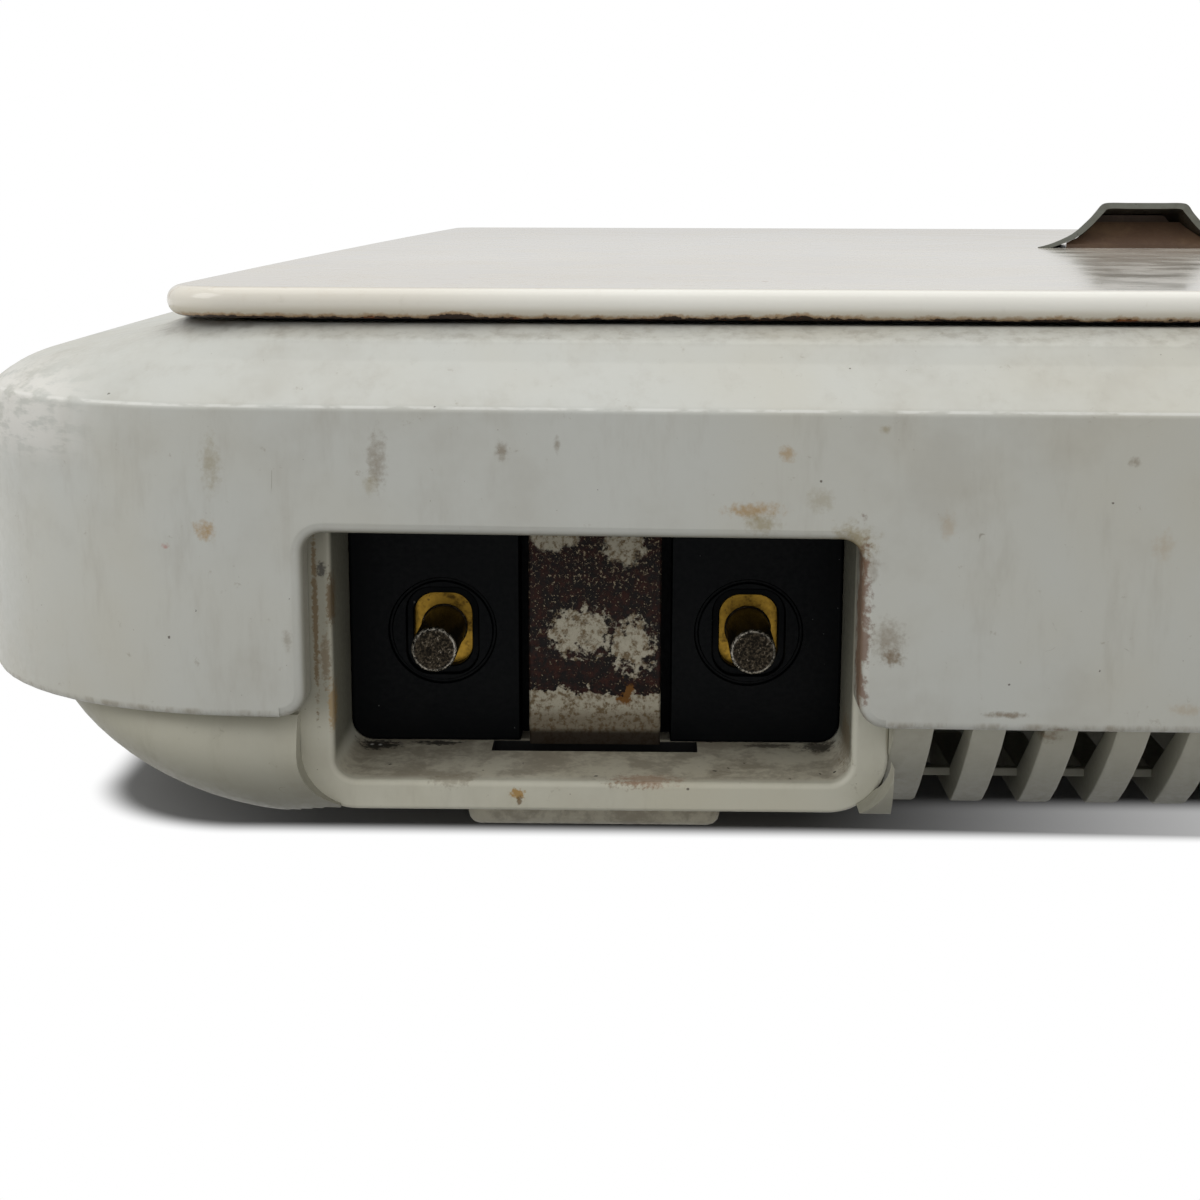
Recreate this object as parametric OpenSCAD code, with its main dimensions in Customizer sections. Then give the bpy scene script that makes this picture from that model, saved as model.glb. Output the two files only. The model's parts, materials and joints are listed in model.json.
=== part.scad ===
// Table-top electric griddle with a lid and a recessed magnetic-plug inlet.
// Millimetres. +Z is up, the feet stand on z = 0, and the inlet end faces -Y.

/* [Body] */
// Width of the body across its lower edge
body_w = 318.4; // [314:0.2:324]
// Length of the body, from the inlet end to the far end
body_l = 351; // [347:0.5:356]
// Height of the lower edge of the upper housing
split_z = 16.5; // [16.2:0.1:16.8]
// Height at which the shoulder begins
shoulder_z = 43.5; // [43:0.1:44]
// Radius of the body's corners, seen from above
corner_r = 34; // [32:1:36]
// Bulge of each end face
end_bulge = 3.4; // [3:0.1:3.8]
// Bulge of each side face
side_bulge = 2.1; // [1.5:0.1:3]
// Wall thickness of both housings
wall = 2.5; // [2.3:0.1:2.7]

/* [Lid and pull] */
// How far the lid's edge lies inside the body's side
lid_side = 24.5; // [24:0.1:25]
// How far the lid's edge lies inside the body's end
lid_end = 11.4; // [11:0.1:12]
// Height of the top of the lid
lid_top = 57.6; // [57.4:0.1:57.8]
// Height of the rolled edge of the lid
lid_edge_h = 3.1; // [2.9:0.1:3.3]
// Thickness of the lid's sheet
lid_sheet = 1; // [0.8:0.1:1.2]
// Height of the pull above the lid
pull_h = 7.6; // [7.4:0.1:8.2]
// Depth of the pull from front to back
pull_depth = 24; // [22:1:28]

/* [Cooking plate] */
// How far the plate's flange lies inside the lid's side edge
plate_side = 6.7; // [6.2:0.1:7.2]
// How far the plate's flange lies inside the lid's end edge
plate_end = 7.1; // [6.6:0.1:7.6]
// Depth of the cooking pan below the flange
pan_depth = 12.5; // [12:0.1:13]
// Thickness of the cast plate
plate_t = 3; // [2.8:0.1:3.2]

/* [Inlet] */
// Place of the inlet's middle, across the body
inlet_x = -89.95; // [-90.5:0.05:-89]
// Width of the recess for the plug
recess_w = 51.5; // [51:0.1:52]
// Height of the top of the recess
recess_top = 34.8; // [34.4:0.1:35.2]
// Depth from the rim of the recess to the moulded blocks
recess_depth = 12.5; // [12:0.1:13.5]
// Distance between the two pins
pin_pitch = 32; // [31.5:0.1:32.5]
// Diameter of each pin
pin_d = 4.6; // [4.4:0.1:4.8]
// Height of the pins
pin_z = 21.8; // [21.5:0.1:22.2]

/* [Vents] */
// Distance from one vent slot to the next
vent_pitch = 6.95; // [6.9:0.05:7]
// Width of a vent slot
vent_gap = 3.6; // [3.4:0.05:3.8]
// Number of vent slots
vent_count = 17; // [15:2:17]

/* [Control] */
// Place of the control knob, across the body
knob_x = 84; // [80:1:88]
// Diameter of the control knob
knob_d = 23; // [21:1:24]
// Length of the control knob
knob_len = 12; // [10:1:13]
// Place of the pilot lamp, across the body
lamp_x = 44; // [40:1:50]

/* [Hidden] */

// Steps along a straight-looking side and round a corner of the plan outline
SIDE_STEPS = 3;
CORNER_STEPS = 6;

half_w = body_w / 2;
half_l = body_l / 2;
front_y = -half_l;
// The dial plate stands on a pad, just behind the middle of the bulged end
pad_y = front_y + 0.9;
dial_t = 0.9;
knob_gap = 0.3;
knob_front = pad_y - dial_t - knob_gap - knob_len;
// The knob stands out from the inlet end, so the housings sit this far towards +Y
middle_y = (front_y - knob_front) / 2;

lid_w = body_w - 2 * lid_side;
lid_l = body_l - 2 * lid_end;
plate_w = lid_w - 2 * plate_side;
plate_l = lid_l - 2 * plate_end;

colour_housing = "#d9d8cf";
colour_hull = "#cfcfc5";
colour_enamel = "#efede4";
colour_steel = "#b9bbbd";
colour_brass = "#c9a24a";
colour_black = "#1d1d1f";
colour_alu = "#c4c6c8";

// Upper housing, from its lower edge to the opening: inset from the end, from the side,
// height and corner radius of each step of its outside
shoulder_r = 7.7;
shoulder_turn = 73;
shoulder_side = 10.5;
shoulder_end = shoulder_r * (1 - cos(shoulder_turn));
lid_seat_z = 54.1;
opening_w = plate_w + 2;
opening_l = plate_l + 2;
opening_r = 9;
opening_side = half_w - opening_w / 2;
opening_end = half_l - opening_l / 2;
crease_out = 4;
slope_z = shoulder_z + shoulder_r * sin(shoulder_turn);
// Height of the crisp edge where an end face meets the slope above it
edge_z = 46.9;

// The sides turn over in an arc, and the ends in a straight slope above their edge
function shoulder_step(t) = let (
    part = (1 - cos(t)) / (1 - cos(shoulder_turn)),
    z = shoulder_z + shoulder_r * sin(t)
  ) [shoulder_end * max(0, z - edge_z) / (slope_z - edge_z), shoulder_side * part, z, corner_r - 10 * part];

UPPER_OUTSIDE = concat(
  [[0.6, 0.6, split_z, corner_r - 0.6], [0, 0, split_z + 0.8, corner_r]],
  [for (t = [0:shoulder_turn / 5:shoulder_turn]) shoulder_step(t)],
  [[lid_end - crease_out, lid_side - crease_out, lid_seat_z - 1.3, 15],
   [lid_end, lid_side, lid_seat_z, 11],
   [opening_end - 3, opening_side - 3, lid_seat_z, 9]]
);

UPPER_INSIDE = concat(
  [[wall, wall, split_z - 1, corner_r - wall]],
  [for (t = [0:shoulder_turn / 3:shoulder_turn]) let (s = shoulder_step(t))
    [s[0] + wall, s[1] + wall, s[2] - wall * sin(t), max(s[3] - wall, 8)]],
  [[opening_end - 3, opening_side - 3, lid_seat_z - wall, 9]]
);

// Lower housing, from its flat bottom to its top edge, which stands inside the upper one
hull_bottom = 4.8;
hull_top = 22;
hull_end_top = 2.7;
hull_side_top = 9.5;
hull_end_run = 5.3;
hull_side_run = 28.9;
hull_h = split_z - 0.3 - hull_bottom;

// Inset of a round bilge of width run and height hull_h, at height h above its bottom
function bilge(run, h) = let (r = (run * run + hull_h * hull_h) / (2 * hull_h))
  run - sqrt(max(0, r * r - (r - h) * (r - h)));

function hull_step(h, thick = 0) = let (side = bilge(hull_side_run, h))
  [hull_end_top + bilge(hull_end_run, h) + thick, hull_side_top + side + thick,
   hull_bottom + h, max(20.5 - 18.5 * side / hull_side_run - thick, 1)];

HULL_OUTSIDE = concat(
  [for (t = [0:15:90]) hull_step(hull_h * (1 - cos(t)))],
  [[hull_end_top + 0.6, hull_side_top - 0.5, split_z - 0.1, 24], [2.9, 2.9, hull_top, corner_r - 2.9]]
);
HULL_INSIDE = concat(
  [for (t = [0:22.5:90]) let (s = hull_step(hull_h * (1 - cos(t)), wall))
    [s[0], s[1], s[2] + wall * cos(t), s[3]]],
  [[4.9, 4.9, hull_top + 0.5, corner_r - 4.9]]
);

// Points of a quarter of the plan outline: a bulged side, a round corner, a bulged end
function quarter(hw, hl, r, sb, eb) = let (
    a = atan(2 * sb / (hl - eb - r)),
    b = atan(2 * eb / (hw - sb - r)),
    ly = hl - eb - r * cos(b) + r * sin(a),
    cx = hw - sb - r * cos(a),
    cy = ly - r * sin(a),
    ex = cx + r * sin(b),
    ey = cy + r * cos(b)
  ) concat(
    [for (i = [0:SIDE_STEPS - 1]) [hw - sb * pow(i / SIDE_STEPS, 2), ly * i / SIDE_STEPS]],
    [for (i = [0:CORNER_STEPS]) let (t = a + (90 - a - b) * i / CORNER_STEPS)
      [cx + r * cos(t), cy + r * sin(t)]],
    [for (i = [1:SIDE_STEPS]) let (f = 1 - i / SIDE_STEPS) [ex * f, ey + eb * (1 - f * f)]]
  );

// A closed plan outline, counter-clockwise from above, at height z
function outline(hw, hl, r, sb, eb, z) = let (q = quarter(hw, hl, r, sb, eb), n = len(q)) concat(
    [for (i = [0:n - 1]) [q[i][0], q[i][1], z]],
    [for (i = [n - 2:-1:0]) [-q[i][0], q[i][1], z]],
    [for (i = [1:n - 1]) [-q[i][0], -q[i][1], z]],
    [for (i = [n - 2:-1:1]) [q[i][0], -q[i][1], z]]
  );

// A solid through outlines given as [end inset, side inset, height, corner radius]
module loft(steps, hw = half_w, hl = half_l, sb = side_bulge, eb = end_bulge) {
  rings = [for (s = steps) outline(hw - s[1], hl - s[0], s[3], sb, eb, s[2])];
  n = len(rings[0]);
  last = len(rings) - 1;
  polyhedron(
    points = [for (ring = rings) each ring],
    faces = concat(
      [[for (i = [0:n - 1]) i]],
      [for (k = [0:last - 1]) for (i = [0:n - 1]) [k * n + i, (k + 1) * n + i, (k + 1) * n + (i + 1) % n]],
      [for (k = [0:last - 1]) for (i = [0:n - 1])
        [k * n + i, (k + 1) * n + (i + 1) % n, k * n + (i + 1) % n]],
      [[for (i = [n - 1:-1:0]) last * n + i]]
    ),
    convexity = 8
  );
}

// How far the end face lies behind its middle, at place x across it
function end_fall(x) = end_bulge * pow(x / (half_w - side_bulge - corner_r), 2);

// A rectangle with round corners, centred
module round_rect(w, l, r) {
  square([w - 2 * r, l], center = true);
  square([w, l - 2 * r], center = true);
  for (x = [-1, 1]) for (y = [-1, 1]) translate([x * (w / 2 - r), y * (l / 2 - r)]) circle(r, $fn = 48);
}

// A round-cornered slab between two heights
module slab(w, l, r, z0, z1) {
  translate([0, 0, z0]) linear_extrude(z1 - z0) round_rect(w, l, r);
}

// A cylinder along +Y from y0 to y1
module bar_y(x, z, y0, y1, r) {
  translate([x, y0, z]) rotate([-90, 0, 0]) cylinder(r = r, h = y1 - y0, $fn = 48);
}

// A profile of [y, z] points extruded along X from x0 to x1
module across(x0, x1, points) {
  translate([x0, 0, 0]) rotate([90, 0, 90]) linear_extrude(x1 - x0) polygon(points);
}

// A box between two corners
module block(a, b) {
  translate(a) cube(b - a);
}

// A tube that follows a list of points, with eight sides
module tube(route, r) {
  sides = 8;
  last = len(route) - 1;
  dirs = [for (i = [0:last]) let (d = route[min(i + 1, last)] - route[max(i - 1, 0)]) d / norm(d)];
  rings = [for (i = [0:last]) let (
      d = dirs[i],
      u = cross(d, abs(d[2]) > 0.9 ? [1, 0, 0] : [0, 0, 1]),
      a = u / norm(u),
      b = cross(d, a)
    ) [for (k = [0:sides - 1]) route[i] + r * (a * cos(360 * k / sides) + b * sin(360 * k / sides))]];
  polyhedron(
    points = [for (ring = rings) each ring],
    faces = concat(
      [[for (k = [0:sides - 1]) k]],
      [for (i = [0:last - 1]) for (k = [0:sides - 1]) let (m = (k + 1) % sides)
        [i * sides + k, (i + 1) * sides + k, (i + 1) * sides + m]],
      [for (i = [0:last - 1]) for (k = [0:sides - 1]) let (m = (k + 1) % sides)
        [i * sides + k, (i + 1) * sides + m, i * sides + m]],
      [[for (k = [sides - 1:-1:0]) last * sides + k]]
    )
  );
}

// A smooth route through hand-picked points, with three steps between each pair
function soft(p) = let (last = len(p) - 1) concat(
    [for (i = [0:last - 1]) for (s = [0:2]) let (
        t = s / 3,
        a = p[max(i - 1, 0)],
        b = p[i],
        c = p[i + 1],
        d = p[min(i + 2, last)]
      ) 0.5 * (2 * b + (c - a) * t + (2 * a - 5 * b + 4 * c - d) * t * t + (3 * b - a - 3 * c + d) * t * t * t)],
    [p[last]]
  );

// A pan-head screw pointing down, its head's underside at the origin
module screw(head_r, head_h, shank_r, length) {
  cylinder(r = head_r, h = head_h, $fn = 40);
  translate([0, 0, -length]) cylinder(r = shank_r, h = length + 0.1, $fn = 32);
}

module at_middle() {
  translate([0, middle_y, 0]) children();
}

// --- Housings ---------------------------------------------------------------------------

bezel_t = 3.6;
frame_r = 5.8;
bezel_y = front_y + 6.8;
bezel_back = bezel_y + 24;
recess_left = inlet_x - recess_w / 2;
recess_right = inlet_x + recess_w / 2;
recess_floor = 9.2;
recess_floor_back = 9.9;
bezel_bottom = 6.2;
cut_left = recess_left - 2.1;
cut_right = recess_right - 0.1;
cut_r = 2;
collar_t = 2.2;
frame_left = recess_left - bezel_t;
frame_right = recess_right + bezel_t;
frame_top = recess_top + 3;
block_y = bezel_y + recess_depth;
ledge_z = 51.2;
ledge_h = 3;
plate_bottom = ledge_z + 2.5 - pan_depth - plate_t;
boss_x = half_w - 30.7;
boss_ys = [front_y + 47.5, 0, half_l - 29.5];
boss_r = 4.4;
screw_r = 1.6;
foot_x = half_w - 51.2;
foot_y = half_l - 43.5;
foot_r = 9;
heater_x = half_w - 75.2;
heater_y = half_l - 67.5;
post_x = heater_x + 8;
post_y = heater_y + 4;
reflector_z = 24;
shaft_z = 30;
shaft_r = 3;
dial_r = 13;
lamp_z = 30;
lens_r = 4;
vent_half = (vent_count * vent_pitch - (vent_pitch - vent_gap)) / 2;
vent_middle = 0.8;
vent_edge = vent_middle - frame_right;

// The opening in front of the inlet frame, with its lower corners rounded outwards
module cut_outline(grow = 0) {
  flare = 2.6;
  low = split_z + flare;
  left = cut_left - grow;
  right = cut_right + grow;
  top = recess_top + grow;
  r = cut_r + grow;
  difference() {
    union() {
      translate([left + r, 0]) square([right - left - 2 * r, top]);
      translate([left, 0]) square([right - left, top - r]);
      for (x = [left + r, right - r]) translate([x, top - r]) circle(r, $fn = 48);
      if (grow == 0) translate([left - flare, 0]) square([right - left + 2 * flare, low]);
    }
    if (grow == 0) for (x = [left - flare, right + flare]) translate([x, low]) circle(flare, $fn = 48);
  }
}

// Extrude an outline of [x, z] from y0 to y1
module along_y(y0, y1) {
  translate([0, y1, 0]) rotate([90, 0, 0]) linear_extrude(y1 - y0) children();
}

module upper_housing() {
  color(colour_housing) at_middle() difference() {
    union() {
      difference() {
        loft(UPPER_OUTSIDE);
        loft(UPPER_INSIDE);
      }
      slab(opening_w + 9, opening_l + 9, 12, ledge_z - ledge_h, lid_seat_z - 1);
      for (x = [-1, 1]) for (y = boss_ys) translate([x * boss_x, y, split_z + 1.4])
        cylinder(r = boss_r, h = ledge_z - ledge_h - split_z - 1.3, $fn = 40);
      bar_y(knob_x, shaft_z, pad_y, front_y + 6, dial_r);
      bar_y(lamp_x, lamp_z, front_y + 0.9, front_y + 6, lens_r + 2.5);
      // Collar round the cut-out, back to the inlet frame
      intersection() {
        along_y(front_y + 3.4, bezel_y - 0.3) cut_outline(collar_t);
        block([-half_w, front_y, split_z], [half_w, 0, 60]);
      }
    }
    slab(opening_w, opening_l, opening_r, ledge_z, lid_seat_z + 1);
    slab(opening_w - 12, opening_l - 12, 7, ledge_z - ledge_h - 1, ledge_z + 1);
    for (x = [-1, 1]) for (y = boss_ys) translate([x * boss_x, y, split_z])
      cylinder(r = screw_r, h = 14, $fn = 32);
    bar_y(knob_x, shaft_z, pad_y - 1, front_y + 7, shaft_r + 0.6);
    bar_y(lamp_x, lamp_z, front_y - 1, front_y + 7, lens_r + 0.05);
    along_y(front_y - 5, bezel_y + 1) cut_outline();
  }
}

// Outline of a vent rib, as [inset from the end face, height]: a slanted front, a flat foot
// that runs back under the body, and a rear edge that meets the cross rail
rib_foot = 32;
rail_in = 16;
rail_z = 7.5;
rail_t = 0.9;
rib_back = 5.4;
RIB = [
  [hull_end_top, hull_top], [hull_end_top, split_z - 0.6], [4.9, 13.3], [8.4, 9.9], [11.3, 7.4], [14.2, 5.3],
  [15.4, hull_bottom], [rib_foot, hull_bottom], [rib_foot, rail_z + rail_t], [rail_in, rail_z + rail_t],
  [rib_back, split_z], [rib_back, hull_top]
];

module vent_rib(x0, x1) {
  fall = end_fall((x0 + x1) / 2);
  across(x0, x1, [for (p = RIB) [front_y + p[0] + fall, p[1]]]);
}

module vents() {
  first = vent_middle - vent_half;
  left = vent_middle - vent_edge;
  right = vent_middle + vent_edge;
  vent_rib(left, first);
  vent_rib(vent_middle + vent_half, right);
  for (i = [1:vent_count - 1]) let (x = first + i * vent_pitch) vent_rib(x - (vent_pitch - vent_gap), x);
  // Cross rail behind the ribs, and the step where the slots end under the body
  block([left, front_y + rail_in, rail_z], [right, front_y + rail_in + 1.2, rail_z + rail_t]);
  block([left, front_y + rib_foot - 2, hull_bottom], [right, front_y + rib_foot + 2, rail_z + 3]);
  // Top rail that ties the ribs, behind the upper housing's wall
  block([left, front_y + 4, split_z], [right, front_y + rib_back + 2, hull_top]);
}

// Outline of the inlet frame up to a height, with round lower corners
module frame_outline(top) {
  translate([frame_left + frame_r, bezel_bottom]) square([frame_right - frame_left - 2 * frame_r, frame_r]);
  translate([frame_left, bezel_bottom + frame_r])
    square([frame_right - frame_left, top - bezel_bottom - frame_r]);
  for (x = [frame_left + frame_r, frame_right - frame_r])
    translate([x, bezel_bottom + frame_r]) circle(frame_r, $fn = 48);
}

// Frame round the plug recess, with its rear open for the moulded block
module inlet_frame() {
  r_in = 2.2;
  difference() {
    along_y(bezel_y, bezel_back) frame_outline(frame_top);
    // The recess, its floor rising a little towards the rear
    across(recess_left + r_in, recess_right - r_in, [
      [bezel_y - 1, recess_floor], [block_y, recess_floor_back], [bezel_back + 1, recess_floor_back],
      [bezel_back + 1, recess_top + 0.5], [bezel_y - 1, recess_top + 0.5]
    ]);
    across(recess_left, recess_right, [
      [bezel_y - 1, recess_floor + r_in], [block_y, recess_floor_back + r_in],
      [bezel_back + 1, recess_floor_back + r_in], [bezel_back + 1, recess_top + 0.5],
      [bezel_y - 1, recess_top + 0.5]
    ]);
    for (x = [recess_left + r_in, recess_right - r_in])
      bar_y(x, recess_floor_back + r_in, bezel_y - 1, bezel_back + 1, r_in);
    // Slot in the recess floor under the keeper strip
    block([inlet_x - floor_slot_w / 2, block_y - floor_slot_l, floor_slot_z],
      [inlet_x + floor_slot_w / 2, block_y + 1, recess_floor_back + 1]);
  }
}

floor_slot_w = 21.5;
floor_slot_l = 4.4;
floor_slot_z = 7.3;
tab_w = 26.1;
tab_bottom = 2.4;
drain_pitch = 14;
screw_pad = 8;
block_screw_x = recess_w / 2 + 4.2;
drain_half = heater_y - 18;

module lower_housing() {
  color(colour_hull) at_middle() difference() {
    union() {
      difference() {
        union() {
          difference() {
            loft(HULL_OUTSIDE);
            loft(HULL_INSIDE);
          }
          for (x = [-1, 1]) for (y = boss_ys) translate([x * boss_x, y, hull_bottom])
            cylinder(r = boss_r + 1.2, h = split_z + 1.4 - hull_bottom, $fn = 40);
          for (x = [-1, 1]) for (y = [-1, 1]) translate([x * post_x, y * post_y, hull_bottom])
            cylinder(r = 4, h = reflector_z - hull_bottom, $fn = 32);
        }
        // Room for the vents and for the inlet frame
        block([frame_right, front_y - 5, -1], [vent_middle + vent_edge, front_y + rib_foot, hull_top + 5]);
        along_y(front_y - 5, bezel_y + 20) frame_outline(hull_top + 5);
        block([frame_left + frame_r, front_y - 5, -1], [frame_right, bezel_y + 20, bezel_bottom + 1]);
        block([cut_left - collar_t - 0.4, front_y - 5, split_z - 0.3], [frame_right, bezel_y, hull_top + 5]);
      }
      vents();
      inlet_frame();
      // Foot tab under the inlet frame
      block([inlet_x - tab_w / 2, bezel_y + 6.5, tab_bottom],
        [inlet_x + tab_w / 2, bezel_y + 18, bezel_bottom + 1]);
      block([frame_left, bezel_y + 10, hull_bottom], [frame_right, bezel_y + 21, bezel_bottom + 1]);
      // Screw pads each side of the frame
      for (x = [recess_left - screw_pad, recess_right])
        block([x, bezel_back - 12, bezel_bottom], [x + screw_pad, bezel_back, pin_z + 5]);
    }
    for (x = [-1, 1]) for (y = boss_ys) translate([x * boss_x, y, 0]) {
      translate([0, 0, -1]) cylinder(r = 3.4, h = 9, $fn = 40);
      cylinder(r = screw_r + 0.3, h = 30, $fn = 32);
    }
    for (x = [-1, 1]) for (y = [-1, 1]) {
      translate([x * post_x, y * post_y, 8]) cylinder(r = 1.3, h = 20, $fn = 32);
      translate([x * foot_x, y * foot_y, 0]) cylinder(r = 2.5, h = 10, $fn = 32);
    }
    for (s = [-1, 1]) bar_y(inlet_x + s * block_screw_x, pin_z, bezel_back - 9, bezel_back + 1, 1.25);
    // Room for the pad behind the dial plate
    block([knob_x - dial_r - 1, front_y - 1, split_z - 0.3],
      [knob_x + dial_r + 1, front_y + 7, hull_top + 1]);
    // Drain and air slots in the bottom
    for (i = [-4:4]) translate([i * drain_pitch, 0, 0])
      block([-2, -drain_half, 0], [2, drain_half, hull_bottom + wall + 1]);
  }
}

module rubber_feet() {
  color("#2a2a2a") at_middle() for (x = [-1, 1]) for (y = [-1, 1]) translate([x * foot_x, y * foot_y, 0]) {
    cylinder(r = foot_r, h = hull_bottom, $fn = 48);
    cylinder(r = 2.45, h = hull_bottom + wall + 0.5, $fn = 32);
    translate([0, 0, hull_bottom + wall]) cylinder(r = 3.2, h = 1.4, $fn = 32);
  }
}

module housing_screws() {
  color(colour_steel) at_middle() for (x = [-1, 1]) for (y = boss_ys) translate([x * boss_x, y, 8])
    rotate([180, 0, 0]) screw(3, 2, screw_r - 0.02, 18);
}

// --- Lid ----------------------------------------------------------------------------------

lid_bottom = lid_top - lid_edge_h;
lid_under = lid_top - lid_sheet;
lid_side_bulge = 1;
lid_end_bulge = 1.4;
skirt_w = plate_w - 22;
skirt_l = plate_l - 22;
skirt_r = 3;
skirt_t = 0.8;

module lid() {
  r = lid_edge_h / 2;
  lw = lid_w / 2;
  ll = lid_l / 2;
  function edge_step(t) = [r - r * cos(t), r - r * cos(t), lid_bottom + r + r * sin(t), 8 - r + r * cos(t)];
  color(colour_enamel) at_middle() difference() {
    loft([for (t = [-90:30:90]) edge_step(t)], lw, ll, lid_side_bulge, lid_end_bulge);
    loft([
      [lid_edge_h, lid_edge_h, lid_bottom - 1, 5], [lid_edge_h, lid_edge_h, lid_under, 5]
    ], lw, ll, lid_side_bulge, lid_end_bulge);
    for (x = [-1, 1]) translate([x * pull_screw_x, 0, lid_under - 1]) cylinder(r = 1.5, h = 4, $fn = 32);
  }
}

// Pressed skirt under the lid that keeps it centred on the plate
module lid_skirt() {
  color(colour_enamel) at_middle() difference() {
    slab(skirt_w, skirt_l, skirt_r, ledge_z - 1, lid_under);
    slab(skirt_w - 2 * skirt_t, skirt_l - 2 * skirt_t, skirt_r - skirt_t, ledge_z - 2, lid_under + 1);
  }
}

// The skirt's flange, spot-welded to the lid
module skirt_flange() {
  inner = 16;
  color(colour_enamel) at_middle() difference() {
    slab(skirt_w - 2 * skirt_t, skirt_l - 2 * skirt_t, skirt_r - skirt_t, lid_under - skirt_t, lid_under);
    slab(skirt_w - inner, skirt_l - inner, 2, lid_under - 2, lid_under + 1);
  }
}

pull_foot = 17.8;
pull_flat = 5.2;
pull_side = 7.9;
pull_rim = 1.2;
pull_screw_x = 4;
pull_taper = 0.58;

// Outline of the pull seen from the end: a flat top, sloping sides and flared feet
module pull_outline(grow = 0) {
  polygon([
    [-pull_foot - grow, 0], [pull_foot + grow, 0], [pull_foot + grow, 0.5],
    [15.4 + grow, 1.1], [12.2 + grow, 2.4], [10 + grow, 4.2], [pull_side + grow, pull_h - 1.5],
    [7.2 + grow, pull_h - 0.4], [pull_flat + grow, pull_h],
    [-pull_flat - grow, pull_h], [-7.2 - grow, pull_h - 0.4],
    [-pull_side - grow, pull_h - 1.5], [-10 - grow, 4.2], [-12.2 - grow, 2.4], [-15.4 - grow, 1.1],
    [-pull_foot - grow, 0.5]
  ]);
}

module pull_inner() {
  polygon([
    [-13, -1], [13, -1], [13, 0.9], [10.6, 2], [8.6, 3.8], [6.9, pull_h - pull_rim - 0.4],
    [6.3, pull_h - pull_rim], [-6.3, pull_h - pull_rim], [-6.9, pull_h - pull_rim - 0.4],
    [-8.6, 3.8], [-10.6, 2], [-13, 0.9]
  ]);
}

// Extrude an outline from the pull's front to its rear, where it is smaller
module pull_hood() {
  translate([0, -pull_depth / 2, lid_top]) mirror([0, 1, 0]) rotate([90, 0, 0])
    linear_extrude(pull_depth, scale = pull_taper) children();
}

module lid_pull() {
  color("#b7b8b4") at_middle() pull_hood() difference() {
    pull_outline();
    pull_inner();
  }
}

// Dark insert of the pull: sloped faces below, a thin web above
module pull_core() {
  web = 3.2;
  out = pull_depth / 2 - 0.6;
  color("#2b1f1a") at_middle() difference() {
    intersection() {
      pull_hood() intersection() {
        pull_inner();
        translate([-20, 0]) square([40, pull_h]);
      }
      translate([0, 0, lid_top]) across(-20, 20, [
        [-out, 0], [out, 0], [out, 0.6], [out - 4.2, 4.3], [web, 3.4], [web, pull_h],
        [-web, pull_h], [-web, 3.4], [-out + 4.2, 4.3], [-out, 0.6]
      ]);
    }
    for (x = [-1, 1]) translate([x * pull_screw_x, 0, lid_top - 1]) cylinder(r = 1.25, h = 5, $fn = 32);
  }
}

module pull_washers() {
  color(colour_steel) at_middle() for (x = [-1, 1]) translate([x * pull_screw_x, 0, lid_under - 0.6]) difference() {
    cylinder(r = 3.6, h = 0.6, $fn = 40);
    translate([0, 0, -1]) cylinder(r = 1.5, h = 3, $fn = 32);
  }
}

module pull_screws() {
  color(colour_steel) at_middle() for (x = [-1, 1]) translate([x * pull_screw_x, 0, lid_under - 0.6])
    rotate([180, 0, 0]) screw(2.6, 1.8, 1.2, 4.9);
}

// --- Cooking plate and heater ---------------------------------------------------------------

pan_w = plate_w - 12;
pan_l = plate_l - 12;
flange_z = ledge_z;
flange_t = 2.5;

// Cast plate: a shallow pan with a grease channel round the cooking surface
module cooking_plate() {
  color("#3a3a3d") at_middle() difference() {
    slab(pan_w - 1, pan_l - 1, 6.5, plate_bottom, flange_z);
    slab(pan_w - 8, pan_l - 8, 5, plate_bottom + plate_t, flange_z + 1);
    difference() {
      slab(pan_w - 8, pan_l - 8, 5, plate_bottom + plate_t - 1, plate_bottom + plate_t + 1);
      slab(pan_w - 24, pan_l - 24, 5, plate_bottom, plate_bottom + plate_t + 2);
    }
  }
}

// The plate's flange, which hangs on the ledge, and the rim that carries the lid
module plate_rim() {
  rim_w = plate_w - 6;
  rim_l = plate_l - 6;
  color("#3a3a3d") at_middle() difference() {
    union() {
      slab(plate_w, plate_l, 8, flange_z, flange_z + flange_t);
      slab(rim_w, rim_l, 7, flange_z, lid_under);
    }
    slab(rim_w - 5, rim_l - 5, 5, flange_z + flange_t, lid_under + 1);
    slab(pan_w - 8, pan_l - 8, 5, flange_z - 1, flange_z + flange_t + 1);
  }
}

heater_r = 3.2;
bush_r = 4.6;
bush_flange_r = 5.7;
heater_z = plate_bottom - 0.4 - bush_flange_r;
heater_bend = 22;
heater_entry = 30;
heater_end_y = front_y + 35.5;

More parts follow.
